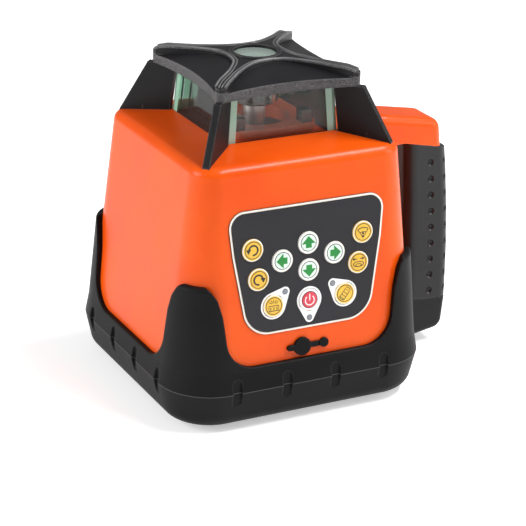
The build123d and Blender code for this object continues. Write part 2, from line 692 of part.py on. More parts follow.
# ---------------------------------------------------------------- charging socket and its cap
JACK_DEPTH = 12.0
CAP_HINGE_X = ANCHOR_X - 4.2
CAP_THICKNESS = 2.0
CAP_LIFT = 0.15  # gap under the strap

with BuildPart() as dc_jack:
    with BuildSketch(FRONT):
        with Locations((JACK_X, up(JACK_Z))):
            Circle(JACK_RADIUS)
            Circle(JACK_BORE_RADIUS, mode=Mode.SUBTRACT)
    extrude(amount=-WALL)
    with BuildSketch(FRONT.offset(-WALL)):
        with Locations((JACK_X, up(JACK_Z))):
            RectangleRounded(12, 12, 1)
            Circle(JACK_BORE_RADIUS, mode=Mode.SUBTRACT)
    extrude(amount=WALL - JACK_DEPTH)
    with BuildSketch(FRONT.offset(-JACK_DEPTH)):
        with Locations((JACK_X, up(JACK_Z))):
            RectangleRounded(12, 12, 1)
    extrude(amount=-1.5)
    with BuildSketch(FRONT.offset(-JACK_DEPTH)):
        with Locations((JACK_X, up(JACK_Z))):
            Circle(1)
    extrude(amount=7)
save(dc_jack.part, "dc_jack")

strap_end = FRONT.from_local_coords((CAP_HINGE_X, up(JACK_Z) - 1.6, CAP_LIFT + 0.6))

with BuildPart() as jack_cap:
    with BuildSketch(FRONT.offset(CAP_LIFT)):
        with Locations((JACK_X, up(JACK_Z))):
            Circle(5.5)
        with Locations((JACK_X - 6.2, up(JACK_Z))):
            SlotCenterToCenter(4, 3.4)
    extrude(amount=CAP_THICKNESS)
    fillet(jack_cap.faces().sort_by(Axis.Y)[0].edges(), 0.6)
    with BuildSketch(FRONT.offset(CAP_LIFT)):
        with Locations(((JACK_X + CAP_HINGE_X) / 2, up(JACK_Z))):
            Rectangle(CAP_HINGE_X - JACK_X, 3.2)
    extrude(amount=1.2)
    # the strap's bending end is round, about its hinge line
    with BuildSketch(Plane(origin=strap_end, x_dir=(1, 0, 0), z_dir=FRONT.y_dir)):
        Circle(0.6)
    extrude(amount=3.2)
    with BuildSketch(FRONT.offset(CAP_LIFT)):
        with Locations((JACK_X, up(JACK_Z))):
            Circle(2.3)
            Circle(1.3, mode=Mode.SUBTRACT)
    extrude(amount=-3)
save(jack_cap.part, "jack_cap")

with BuildPart() as jack_cap_anchor:
    with BuildSketch(FRONT):
        with Locations((ANCHOR_X, up(JACK_Z))):
            Circle(2.9)
        with Locations(((ANCHOR_X + CAP_HINGE_X + 0.85) / 2, up(JACK_Z))):
            Rectangle(ANCHOR_X - CAP_HINGE_X - 0.85, 3.2)
    extrude(amount=1.6)
    fillet(jack_cap_anchor.faces().sort_by(Axis.Y)[0].edges(), 0.5)
    with BuildSketch(FRONT):
        with Locations((ANCHOR_X, up(JACK_Z))):
            Circle(1.4)
    extrude(amount=-WALL - 0.6)
save(jack_cap_anchor.part, "jack_cap_anchor")

# ---------------------------------------------------------------- battery door, knob, tray and cells
axis_up = up(DOOR_AXIS_Z)
top_up = up(DOOR_TOP_Z)
KNOB_STEM_RADIUS = 3.0

with BuildPart() as battery_door:
    with BuildSketch(BACK):
        with Locations((0, (axis_up + top_up) / 2)):
            Rectangle(2 * DOOR_HALF_WIDTH, top_up - axis_up)
    extrude(amount=-DOOR_THICKNESS)
    with Locations(Location((0, door_axis_y, DOOR_AXIS_Z), (0, 90, 0))):
        Cylinder(BARREL_RADIUS, 2 * DOOR_HALF_WIDTH)
        Cylinder(PIN_RADIUS + 0.05, 2 * DOOR_HALF_WIDTH + 2, mode=Mode.SUBTRACT)
    with BuildSketch(BACK.offset(1)):
        with Locations((0, up(KNOB_Z))):
            Circle(KNOB_STEM_RADIUS + 0.05)
    extrude(amount=-6, mode=Mode.SUBTRACT)
save(battery_door.part, "battery_door")

with BuildPart() as battery_hinge_pin:
    with Locations(Location((0, door_axis_y, DOOR_AXIS_Z), (0, 90, 0))):
        Cylinder(PIN_RADIUS, 2 * DOOR_HALF_WIDTH + 5)
save(battery_hinge_pin.part, "battery_hinge_pin")

with BuildPart() as battery_knob:
    with BuildSketch(BACK):
        with Locations((0, up(KNOB_Z))):
            Circle(KNOB_RADIUS)
    extrude(amount=1.6)
    with BuildSketch(BACK.offset(1.6)):
        with Locations((0, up(KNOB_Z))):
            Rectangle(2 * KNOB_RADIUS - 2.4, 4)
    extrude(amount=3.2)
    fillet(battery_knob.faces().sort_by(Axis.Y)[-1].edges(), 0.8)
    with BuildSketch(BACK):
        with Locations((0, up(KNOB_Z))):
            Circle(KNOB_STEM_RADIUS)
    extrude(amount=-DOOR_THICKNESS - 0.1)
    with BuildSketch(BACK.offset(-DOOR_THICKNESS - 0.1)):
        with Locations((0, up(KNOB_Z))):
            Circle(5)
            Rectangle(16, 5)
    extrude(amount=-1.4)
save(battery_knob.part, "battery_knob")

tray_half = CELLS_X[1] + CELL_RADIUS + 2.2
with BuildPart() as battery_tray:
    with BuildSketch(Plane.XY.offset(TRAY_Z)):
        with Locations((0, (TRAY_Y + 90) / 2)):
            Rectangle(2 * tray_half, 90 - TRAY_Y)
    extrude(amount=TRAY_TOP_Z - TRAY_Z)
    with BuildSketch(Plane.XY.offset(TRAY_Z + 1.6)):
        with Locations((0, (TRAY_Y + 1.6 + 95) / 2)):
            Rectangle(2 * tray_half - 3.2, 95 - TRAY_Y - 1.6)
    extrude(amount=TRAY_TOP_Z - TRAY_Z - 3.2, mode=Mode.SUBTRACT)
    add(inner_shape, mode=Mode.INTERSECT)
    with BuildSketch(BACK):
        with Locations((0, (axis_up + top_up) / 2)):
            Rectangle(2 * DOOR_HALF_WIDTH + 1, top_up - axis_up + 6)
    extrude(amount=-WALL - 0.5, mode=Mode.SUBTRACT)
save(battery_tray.part, "battery_tray")

with BuildPart() as battery_cells:
    with BuildSketch(Plane.XY.offset(TRAY_Z + 1.6)):
        with Locations(*[(x, CELL_Y) for x in CELLS_X]):
            Circle(CELL_RADIUS)
    extrude(amount=CELL_LENGTH)
    with BuildSketch(Plane.XY.offset(TRAY_Z + 1.6 + CELL_LENGTH)):
        with Locations(*[(x, CELL_Y) for x in CELLS_X]):
            Circle(4)
    extrude(amount=1.2)
save(battery_cells.part, "battery_cells")

# ---------------------------------------------------------------- chassis
UPRIGHT_INNER, UPRIGHT_OUTER = 26.0, 32.0
PIN_R = 2.0  # gimbal pins
PITCH_ARM = 38.0  # from the pitch axis to its levelling screw
ROLL_ARM = 26.0
ROLL_SCREW_Y = -26.0
SCREW_RADIUS = 1.5
MOTOR_RADIUS = 6.0
NUT_HALF = 4.0
PITCH_NUT_Z = GIMBAL_Z
ROLL_NUT_Z = GIMBAL_Z + 14

with BuildPart() as chassis:
    with BuildSketch(Plane.XY.offset(RIM_Z)):
        with Locations((0, -9.5)):
            Rectangle(68, 79)
        Circle(17.2, mode=Mode.SUBTRACT)
    extrude(amount=4)
    # two uprights carry the pitch pins
    for side in (-1, 1):
        with BuildSketch(Plane.XY.offset(RIM_Z)):
            with Locations((side * (UPRIGHT_INNER + UPRIGHT_OUTER) / 2, 0)):
                Rectangle(UPRIGHT_OUTER - UPRIGHT_INNER, 20)
        extrude(amount=GIMBAL_Z + 8 - RIM_Z)
    with Locations(Location((0, 0, GIMBAL_Z), (0, 90, 0))):
        Cylinder(PIN_R, 70, mode=Mode.SUBTRACT)
    # bracket and shelf for the pitch motor
    with BuildSketch(Plane.XY.offset(RIM_Z)):
        with Locations((0, -47)):
            Rectangle(20, 4)
    extrude(amount=79)
    with BuildSketch(Plane.XY.offset(84)):
        with Locations((0, -40)):
            Rectangle(20, 18)
    extrude(amount=4)
    with Locations(*[(x, y, RIM_Z) for x, y in CHASSIS_SCREWS]):
        Cylinder(1.5, 20, mode=Mode.SUBTRACT)
save(chassis.part, "chassis")

with BuildPart() as pitch_pins:
    for side in (-1, 1):
        with Locations(Location((side * 26, 0, GIMBAL_Z), (0, 90, 0))):
            Cylinder(PIN_R, 12)
save(pitch_pins.part, "pitch_pins")


def level_motor(x, y, top):
    """A small can motor standing below a levelling screw."""
    with BuildPart() as motor:
        with BuildSketch(Plane.XY.offset(top - 16)):
            with Locations((x, y)):
                Circle(MOTOR_RADIUS)
        extrude(amount=16)
        with BuildSketch(Plane.XY.offset(top - 10)):
            with Locations((x, y)):
                Circle(SCREW_RADIUS + 0.05)
        extrude(amount=12, mode=Mode.SUBTRACT)
    return motor.part


def level_screw(x, y, bottom, top):
    """A levelling screw, as a plain rod of its outside diameter."""
    with BuildPart() as screw:
        with BuildSketch(Plane.XY.offset(bottom)):
            with Locations((x, y)):
                Circle(SCREW_RADIUS)
        extrude(amount=top - bottom)
    return screw.part


def level_nut(x, y, z, pin_axis):
    """A block on the screw, with a side pin each way for the fork."""
    turn = (0, 90, 0) if pin_axis == "x" else (90, 0, 0)
    with BuildPart() as nut:
        with Locations((x, y, z)):
            Box(2 * NUT_HALF, 2 * NUT_HALF, 6)
        with Locations(Location((x, y, z), turn)):
            Cylinder(1.4, 2 * NUT_HALF + 7)
        with Locations((x, y, z)):
            Cylinder(SCREW_RADIUS + 0.05, 10, mode=Mode.SUBTRACT)
    return nut.part


save(level_motor(0, -PITCH_ARM, 104), "pitch_motor")
save(level_screw(0, -PITCH_ARM, 94.2, 132), "pitch_screw")
save(level_nut(0, -PITCH_ARM, PITCH_NUT_Z, "x"), "pitch_nut")

# ---------------------------------------------------------------- gimbal ring and its roll motor
RING_INNER, RING_OUTER, RING_HALF_HEIGHT = 17.0, 23.0, 6.0
SHELF_Z = 112.0

with BuildPart() as gimbal_ring:
    with BuildSketch(Plane.XY.offset(GIMBAL_Z - RING_HALF_HEIGHT)):
        Circle(RING_OUTER)
        Circle(RING_INNER, mode=Mode.SUBTRACT)
    extrude(amount=2 * RING_HALF_HEIGHT)
    # fork that the pitch nut's pins lift
    for side in (-1, 1):
        with BuildSketch(Plane.XY.offset(GIMBAL_Z - 4)):
            with Locations((side * 6.4, -30)):
                Rectangle(3.2, 24)
        extrude(amount=8)
    with BuildSketch(Plane.XY.offset(GIMBAL_Z - 4)):
        with Locations((0, -24)):
            Rectangle(16, 6)
    extrude(amount=8)
    for side in (-1, 1):
        with BuildSketch(Plane.YZ.offset(side * 6.4)):
            with Locations((-PITCH_ARM, PITCH_NUT_Z)):
                SlotOverall(6, 3.1)
        extrude(amount=4, both=True, mode=Mode.SUBTRACT)
    # shelf for the roll motor
    with BuildSketch(Plane.XY.offset(SHELF_Z)):
        with Locations(Location((0, 0), -45)):
            with Locations((31, 0)):
                Rectangle(26, 14)
    extrude(amount=3)
    with BuildSketch(Plane.XY.offset(SHELF_Z - 1)):
        with Locations((ROLL_ARM, ROLL_SCREW_Y)):
            Circle(2.2)
    extrude(amount=6, mode=Mode.SUBTRACT)
    with BuildSketch(Plane.XY.offset(SHELF_Z - 1)):
        Circle(RING_INNER)
    extrude(amount=4, mode=Mode.SUBTRACT)
    with Locations(Location((0, 0, GIMBAL_Z), (0, 90, 0))):
        Cylinder(PIN_R + 0.05, 60, mode=Mode.SUBTRACT)
    with Locations(Location((0, 0, GIMBAL_Z), (90, 0, 0))):
        Cylinder(PIN_R, 60, mode=Mode.SUBTRACT)
save(gimbal_ring.part, "gimbal_ring")

with BuildPart() as roll_pins:
    for side in (-1, 1):
        with Locations(Location((0, side * 15.5, GIMBAL_Z), (90, 0, 0))):
            Cylinder(PIN_R, 12)
save(roll_pins.part, "roll_pins")

save(level_motor(ROLL_ARM, ROLL_SCREW_Y, SHELF_Z), "roll_motor")
save(level_screw(ROLL_ARM, ROLL_SCREW_Y, SHELF_Z - 9.8, 145), "roll_screw")
save(level_nut(ROLL_ARM, ROLL_SCREW_Y, ROLL_NUT_Z, "y"), "roll_nut")

# ---------------------------------------------------------------- spindle housing and what it carries
SLEEVE_RADIUS, SLEEVE_TOP_Z, SLEEVE_BOTTOM_Z = 13.0, 140.0, 93.0
SPINDLE_RADIUS = 6.5
BEARING_RADIUS, BEARING_HEIGHT = 10.5, 6.0
DRIVE_Y = 21.0
DRIVE_MOTOR_RADIUS = 6.5

with BuildPart() as spindle_housing:
    with BuildSketch(Plane.XY.offset(SLEEVE_BOTTOM_Z)):
        Circle(SLEEVE_RADIUS)
    extrude(amount=SLEEVE_TOP_Z - SLEEVE_BOTTOM_Z)
    # flange for the drive motor and the two level sensors
    with BuildSketch(Plane.XY.offset(SLEEVE_BOTTOM_Z)):
        with Locations((0, 0.5)):
            Rectangle(18, 57)
        with Locations((-10, 0)):
            Rectangle(22, 18)
        with Locations((9, 0)):
            Rectangle(18, 12)
    extrude(amount=3)
    # strap that holds the laser module under the spindle
    with BuildSketch(Plane.XY.offset(64)):
        with Locations((16.2, 0)):
            Rectangle(3, 12)
    extrude(amount=SLEEVE_BOTTOM_Z - 64)
    with BuildSketch(Plane.XY.offset(64)):
        with Locations((8, 0)):
            Rectangle(18, 12)
        Circle(8.5)
    extrude(amount=10)
    with BuildSketch(Plane.XY.offset(60)):
        Circle(5.5)
    extrude(amount=20, mode=Mode.SUBTRACT)
    # fork that the roll nut's pins lift
    with BuildSketch(Plane.XY.offset(ROLL_NUT_Z - 3.5)):
        with Locations(Location((0, 0), -45)):
            with Locations((16, 0)):
                Rectangle(16, 10)
        with Locations((17, -22.5)):
            Rectangle(6, 22)
        for side in (-1, 1):
            with Locations((22, ROLL_SCREW_Y + side * 6.4)):
                Rectangle(16, 3.2)
    extrude(amount=7)
    with BuildSketch(Plane.XZ):
        with Locations((ROLL_ARM, ROLL_NUT_Z)):
            SlotOverall(6.4, 3.1)
    extrude(amount=40, mode=Mode.SUBTRACT)
    # bore, bearing seats and the holes for the roll pins
    with BuildSketch(Plane.XY.offset(80)):
        Circle(SPINDLE_RADIUS + 1.5)
    extrude(amount=70, mode=Mode.SUBTRACT)
    for seat in (SLEEVE_BOTTOM_Z, SLEEVE_TOP_Z - BEARING_HEIGHT):
        with BuildSketch(Plane.XY.offset(seat)):
            Circle(BEARING_RADIUS)
        extrude(amount=BEARING_HEIGHT, mode=Mode.SUBTRACT)
    with Locations(Location((0, 0, GIMBAL_Z), (90, 0, 0))):
        Cylinder(PIN_R + 0.05, 40, mode=Mode.SUBTRACT)
    with BuildSketch(Plane.XY.offset(90)):
        with Locations((0, DRIVE_Y)):
            Circle(2.2)
    extrude(amount=10, mode=Mode.SUBTRACT)
save(spindle_housing.part, "spindle_housing")

with BuildPart() as bearings:
    for seat in (SLEEVE_BOTTOM_Z, SLEEVE_TOP_Z - BEARING_HEIGHT):
        with BuildSketch(Plane.XY.offset(seat)):
            Circle(BEARING_RADIUS)
            Circle(SPINDLE_RADIUS + 0.03, mode=Mode.SUBTRACT)
        extrude(amount=BEARING_HEIGHT)
save(bearings.part, "bearings")

with BuildPart() as laser_module:
    with BuildSketch(Plane.XY.offset(60)):
        Circle(5.5)
    extrude(amount=20)
    with BuildSketch(Plane.XY.offset(80)):
        Circle(2.5)
    extrude(amount=-2, mode=Mode.SUBTRACT)
save(laser_module.part, "laser_module")

with BuildPart() as level_sensors:
    with Locations(Location((0, -21, SLEEVE_BOTTOM_Z + 5.8), (90, 0, 0))):
        Cylinder(2.8, 13)
    with Locations(Location((-17.6, 0, SLEEVE_BOTTOM_Z + 5.8), (90, 0, 0))):
        Cylinder(2.8, 13)
save(level_sensors.part, "level_sensors")

# ---------------------------------------------------------------- rotor and its drive
PULLEY_Z, PULLEY_HEIGHT = 84.0, 6.0
ROTOR_PULLEY_RADIUS, MOTOR_PULLEY_RADIUS = 9.0, 4.0
BELT_THICKNESS = 1.0
NECK_TOP_Z = 172.4
HEAD_RADIUS, HEAD_TOP_Z = 12.3, 186.4

with BuildPart() as rotor_spindle:
    with BuildSketch(Plane.XY.offset(PULLEY_Z - 1)):
        Circle(SPINDLE_RADIUS)
        Circle(4, mode=Mode.SUBTRACT)
    extrude(amount=NECK_TOP_Z - PULLEY_Z + 1)
    with BuildSketch(Plane.XY.offset(SLEEVE_TOP_Z + 0.5)):
        Circle(SPINDLE_RADIUS + 2)
        Circle(4, mode=Mode.SUBTRACT)
    extrude(amount=3)
save(rotor_spindle.part, "rotor_spindle")

with BuildPart() as rotor_head:
    with BuildSketch(Plane.XY.offset(NECK_TOP_Z)):
        Circle(HEAD_RADIUS)
    extrude(amount=HEAD_TOP_Z - NECK_TOP_Z)
    fillet(rotor_head.edges(), 0.8)
    with BuildSketch(Plane.XY.offset(NECK_TOP_Z)):
        Circle(4)
    extrude(amount=20, mode=Mode.SUBTRACT)
    # pocket for the prism, open to the side that the beam leaves by
    with BuildSketch(Plane.XY.offset(NECK_TOP_Z + 2)):
        with Locations((-2.5, 0)):
            Rectangle(15, 12)
        with Locations((-10, 0)):
            Rectangle(10, 9)
    extrude(amount=10, mode=Mode.SUBTRACT)
save(rotor_head.part, "rotor_head")

with BuildPart() as pentaprism:
    with BuildSketch(Plane.XZ):
        with BuildLine():
            Polyline(
                [(-9.6, 174.4), (4.9, 174.4), (4.9, 176.5), (0.5, 184.2), (-9.6, 184.2)], close=True
            )
        make_face()
    extrude(amount=5.8, both=True)
save(pentaprism.part, "pentaprism")

with BuildPart() as rotor_pulley:
    with BuildSketch(Plane.XY.offset(PULLEY_Z)):
        Circle(ROTOR_PULLEY_RADIUS)
        Circle(SPINDLE_RADIUS, mode=Mode.SUBTRACT)
    extrude(amount=PULLEY_HEIGHT)
save(rotor_pulley.part, "rotor_pulley")

with BuildPart() as drive_motor:
    with BuildSketch(Plane.XY.offset(SLEEVE_BOTTOM_Z + 3)):
        with Locations((0, DRIVE_Y)):
            Circle(DRIVE_MOTOR_RADIUS)
    extrude(amount=13)
    with BuildSketch(Plane.XY.offset(SLEEVE_BOTTOM_Z)):
        with Locations((0, DRIVE_Y)):
            Circle(1.05)
    extrude(amount=11, mode=Mode.SUBTRACT)
save(drive_motor.part, "drive_motor")

with BuildPart() as motor_pulley:
    with BuildSketch(Plane.XY.offset(PULLEY_Z)):
        with Locations((0, DRIVE_Y)):
            Circle(MOTOR_PULLEY_RADIUS)
    extrude(amount=PULLEY_HEIGHT)
    with BuildSketch(Plane.XY.offset(PULLEY_Z)):
        with Locations((0, DRIVE_Y)):
            Circle(1)
    extrude(amount=18)
save(motor_pulley.part, "motor_pulley")

with BuildPart() as drive_belt:
    with BuildSketch(Plane.XY.offset(PULLEY_Z + 1)) as loop:
        with BuildLine():
            CenterArc((0, 0), ROTOR_PULLEY_RADIUS + BELT_THICKNESS, 0, 360)
            CenterArc((0, DRIVE_Y), MOTOR_PULLEY_RADIUS + BELT_THICKNESS, 0, 360)
        make_hull()
        offset(amount=-BELT_THICKNESS, mode=Mode.SUBTRACT)
    extrude(amount=PULLEY_HEIGHT - 2)
save(drive_belt.part, "drive_belt")

with BuildPart() as main_board:
    with BuildSketch(Plane.YZ.offset(-50)):
        with Locations((0, 48)):
            Rectangle(80, 78)
    extrude(amount=-1.6)
    with BuildSketch(Plane.YZ.offset(-50)):
        with Locations((-15, 60)):
            Rectangle(16, 16)
        with Locations((18, 40)):
            Rectangle(12, 12)
        with Locations((-24, 28)):
            Rectangle(14, 8)
    extrude(amount=2.4)
save(main_board.part, "main_board")
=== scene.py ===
from math import atan2, cos, hypot, pi, radians, sin, sqrt, tan

import bmesh
import bpy
from mathutils import Matrix, Vector


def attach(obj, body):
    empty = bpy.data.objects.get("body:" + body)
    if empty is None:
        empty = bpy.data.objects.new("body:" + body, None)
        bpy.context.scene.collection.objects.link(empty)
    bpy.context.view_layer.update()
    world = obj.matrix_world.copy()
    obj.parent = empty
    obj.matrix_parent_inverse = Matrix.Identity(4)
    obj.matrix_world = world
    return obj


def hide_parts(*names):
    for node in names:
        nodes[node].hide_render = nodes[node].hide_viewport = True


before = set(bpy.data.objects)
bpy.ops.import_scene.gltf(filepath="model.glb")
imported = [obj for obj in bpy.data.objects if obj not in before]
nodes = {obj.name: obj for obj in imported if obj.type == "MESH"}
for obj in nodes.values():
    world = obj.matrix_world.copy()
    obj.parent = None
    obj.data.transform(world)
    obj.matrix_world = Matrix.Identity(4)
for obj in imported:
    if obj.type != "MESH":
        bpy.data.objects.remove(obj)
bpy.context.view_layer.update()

# lengths are in millimetres up to add_piece, and in metres in materials, camera and lights
MM = 0.001
LEAN = radians(6.33)  # the housing's walls lean in by this
SHOULDER_Z, SHOULDER_HALF = 157.0, 66.2  # where the walls end, and half the width there
FACE_Z = 95.0  # the height that places on the keypad's face are counted from


def wall_half(z):
    """Half the width of the housing at height z."""
    return SHOULDER_HALF + tan(LEAN) * (SHOULDER_Z - z)


# ------------------------------------------------------------------ materials
def shader(name):
    """A new material with its node tree, its principled node and a position node in object space."""
    m = bpy.data.materials.new(name)
    m.use_nodes = True
    tree = m.node_tree
    principled = tree.nodes["Principled BSDF"]
    coords = tree.nodes.new("ShaderNodeTexCoord")
    return m, tree, principled, coords.outputs["Object"]


def noise(tree, where, scale, detail=3.0, rough=0.55):
    node = tree.nodes.new("ShaderNodeTexNoise")
    node.inputs["Scale"].default_value = scale
    node.inputs["Detail"].default_value = detail
    node.inputs["Roughness"].default_value = rough
    tree.links.new(where, node.inputs["Vector"])
    return node.outputs["Fac"]


def ramp(tree, value, low, high, out_low, out_high):
    node = tree.nodes.new("ShaderNodeMapRange")
    node.inputs["From Min"].default_value = low
    node.inputs["From Max"].default_value = high
    node.inputs["To Min"].default_value = out_low
    node.inputs["To Max"].default_value = out_high
    tree.links.new(value, node.inputs["Value"])
    return node.outputs["Result"]


def mix(tree, amount, first, second):
    """Colour mix of two colours, each a tuple or a socket."""
    node = tree.nodes.new("ShaderNodeMix")
    node.data_type = "RGBA"
    for key, value in (("A", first), ("B", second)):
        socket = [s for s in node.inputs if s.name == key and s.type == "RGBA"][0]
        if isinstance(value, tuple):
            socket.default_value = (*value, 1)
        else:
            tree.links.new(value, socket)
    factor = node.inputs[0]
    if isinstance(amount, (int, float)):
        factor.default_value = amount
    else:
        tree.links.new(amount, factor)
    return [s for s in node.outputs if s.type == "RGBA"][0]


def math_node(tree, kind, first, second=0.0):
    node = tree.nodes.new("ShaderNodeMath")
    node.operation = kind
    for i, value in enumerate((first, second)):
        if isinstance(value, (int, float)):
            node.inputs[i].default_value = value
        else:
            tree.links.new(value, node.inputs[i])
    return node.outputs[0]


def bump(tree, principled, height, strength, distance, edge=0.0):
    """Bump on the principled node, over a small rounding of hard edges."""
    node = tree.nodes.new("ShaderNodeBump")
    node.inputs["Strength"].default_value = strength
    node.inputs["Distance"].default_value = distance
    tree.links.new(height, node.inputs["Height"])
    if edge:
        rounding = tree.nodes.new("ShaderNodeBevel")
        rounding.samples = 4
        rounding.inputs["Radius"].default_value = edge
        tree.links.new(rounding.outputs["Normal"], node.inputs["Normal"])
    for socket in ("Normal", "Coat Normal"):
        tree.links.new(node.outputs["Normal"], principled.inputs[socket])


EDGE_REACH = 0.0008  # how far from an edge its pale wear and painted edge highlight reach


def edge_wear_and_highlight(tree, edge_width):
    """How much a point is on an outer edge, from 0 to about 1."""
    node = tree.nodes.new("ShaderNodeAmbientOcclusion")
    node.inside = True
    node.samples = 4
    node.inputs["Distance"].default_value = edge_width
    return ramp(tree, node.outputs["AO"], 0.55, 1.0, 1.0, 0.0)


def plastic(
    name, dark, light, rough, grain, depth, edge=0.0004, *, coat=0.0, edge_wear_and_highlight_colour=None, edge_wear_and_highlight_amount=0.0, shine=0.5,
    paint=None,
):
    """Moulded plastic or rubber: cloudy colour, fine moulded grain, uneven gloss, and pale edges that are
    partly wear and partly a painted edge highlight.
    """
    m, tree, p, where = shader(name)
    p.inputs["Specular IOR Level"].default_value = shine
    clouds = noise(tree, where, 22.0, 4.0)
    colour = mix(tree, ramp(tree, clouds, 0.35, 0.65, 0.0, 1.0), dark, light)
    # pale edges: partly wear, partly a painted highlight along the outer edges
    if edge_wear_and_highlight_amount:
        speckle = noise(tree, where, 900.0, 2.0)
        spread = math_node(tree, "MULTIPLY", edge_wear_and_highlight(tree, EDGE_REACH), ramp(tree, speckle, 0.4, 0.6, 0.3, 1.0))
        colour = mix(tree, math_node(tree, "MULTIPLY", spread, edge_wear_and_highlight_amount), colour, edge_wear_and_highlight_colour)
    if paint:
        colour = paint(tree, where, colour)
    tree.links.new(colour, p.inputs["Base Color"])
    fine = noise(tree, where, grain, 2.0, 0.6)
    uneven = ramp(tree, clouds, 0.3, 0.7, -0.04, 0.05)
    gloss = math_node(tree, "ADD", uneven, ramp(tree, fine, 0.3, 0.7, -0.04, 0.04))
    tree.links.new(math_node(tree, "ADD", gloss, rough), p.inputs["Roughness"])
    p.inputs["Coat Weight"].default_value = coat
    p.inputs["Coat Roughness"].default_value = 0.2
    bump(tree, p, fine, depth, 0.0002, edge)
    return m


def height_of(tree, where):
    """The height of a point above the feet."""
    node = tree.nodes.new("ShaderNodeSeparateXYZ")
    tree.links.new(where, node.inputs[0])
    return node.outputs["Z"]


PARTING_Z = 0.026


def parting_line(tree, where, colour):
    """A fine pale line round the boot's widest level, where its mould parted."""
    away = math_node(tree, "ABSOLUTE", math_node(tree, "SUBTRACT", height_of(tree, where), PARTING_Z))
    return mix(tree, ramp(tree, away, 0.0001, 0.0003, 0.75, 0.0), colour, (0.10, 0.10, 0.10))


def grainy_rim(tree, where, colour):
    """The cap's upright rim, lighter and coarser than its top, over a dark lower edge."""
    geometry = tree.nodes.new("ShaderNodeNewGeometry")
    tilt = tree.nodes.new("ShaderNodeSeparateXYZ")
    tree.links.new(geometry.outputs["True Normal"], tilt.inputs[0])
    upright = ramp(tree, math_node(tree, "ABSOLUTE", tilt.outputs["Z"]), 0.15, 0.3, 1.0, 0.0)
    height = height_of(tree, where)
    over, under = ramp(tree, height, 0.1896, 0.1902, 0.0, 1.0), ramp(tree, height, 0.1950, 0.1955, 1.0, 0.0)
    band = math_node(tree, "MULTIPLY", over, under)
    speckle = ramp(tree, noise(tree, where, 2400.0, 1.0, 0.5), 0.47, 0.6, 0.08, 1.0)
    amount = math_node(tree, "MULTIPLY", math_node(tree, "MULTIPLY", upright, band), speckle)
    return mix(tree, amount, colour, (0.14, 0.135, 0.14))


def metal(name, colour, rough):
    """Turned or drawn metal with fine streaks."""
    m, tree, p, where = shader(name)
    p.inputs["Metallic"].default_value = 1.0
    streak = noise(tree, where, 700.0, 2.0)
    tint = mix(tree, ramp(tree, streak, 0.3, 0.7, 0, 1), tuple(c * 0.85 for c in colour), colour)
    tree.links.new(tint, p.inputs["Base Color"])
    tree.links.new(ramp(tree, streak, 0.3, 0.7, rough - 0.06, rough + 0.08), p.inputs["Roughness"])
    bump(tree, p, streak, 0.12, 0.0001, 0.0002)
    return m


def glass(name, colour, rough=0.02, mix_clear=0.75, face_ior=1.5):
    """Thin clear glass: mostly see-through, with a reflecting face."""
    m, tree, p, where = shader(name)
    smear = noise(tree, where, 60.0)
    p.inputs["Base Color"].default_value = (*colour, 1)
    tree.links.new(ramp(tree, smear, 0.4, 0.75, rough, rough + 0.05), p.inputs["Roughness"])
    p.inputs["IOR"].default_value = 1.5
    clear = tree.nodes.new("ShaderNodeBsdfTransparent")
    clear.inputs["Color"].default_value = (*colour, 1)
    fresnel = tree.nodes.new("ShaderNodeFresnel")
    fresnel.inputs["IOR"].default_value = face_ior
    gloss = tree.nodes.new("ShaderNodeBsdfGlossy")
    gloss.inputs["Roughness"].default_value = 0.03
    both = tree.nodes.new("ShaderNodeMixShader")
    tree.links.new(fresnel.outputs[0], both.inputs[0])
    tree.links.new(clear.outputs[0], both.inputs[1])
    tree.links.new(gloss.outputs[0], both.inputs[2])
    blend = tree.nodes.new("ShaderNodeMixShader")
    blend.inputs[0].default_value = 1 - mix_clear
    tree.links.new(both.outputs[0], blend.inputs[1])
    tree.links.new(p.outputs[0], blend.inputs[2])
    out = tree.nodes["Material Output"]
    tree.links.new(blend.outputs[0], out.inputs["Surface"])
    return m
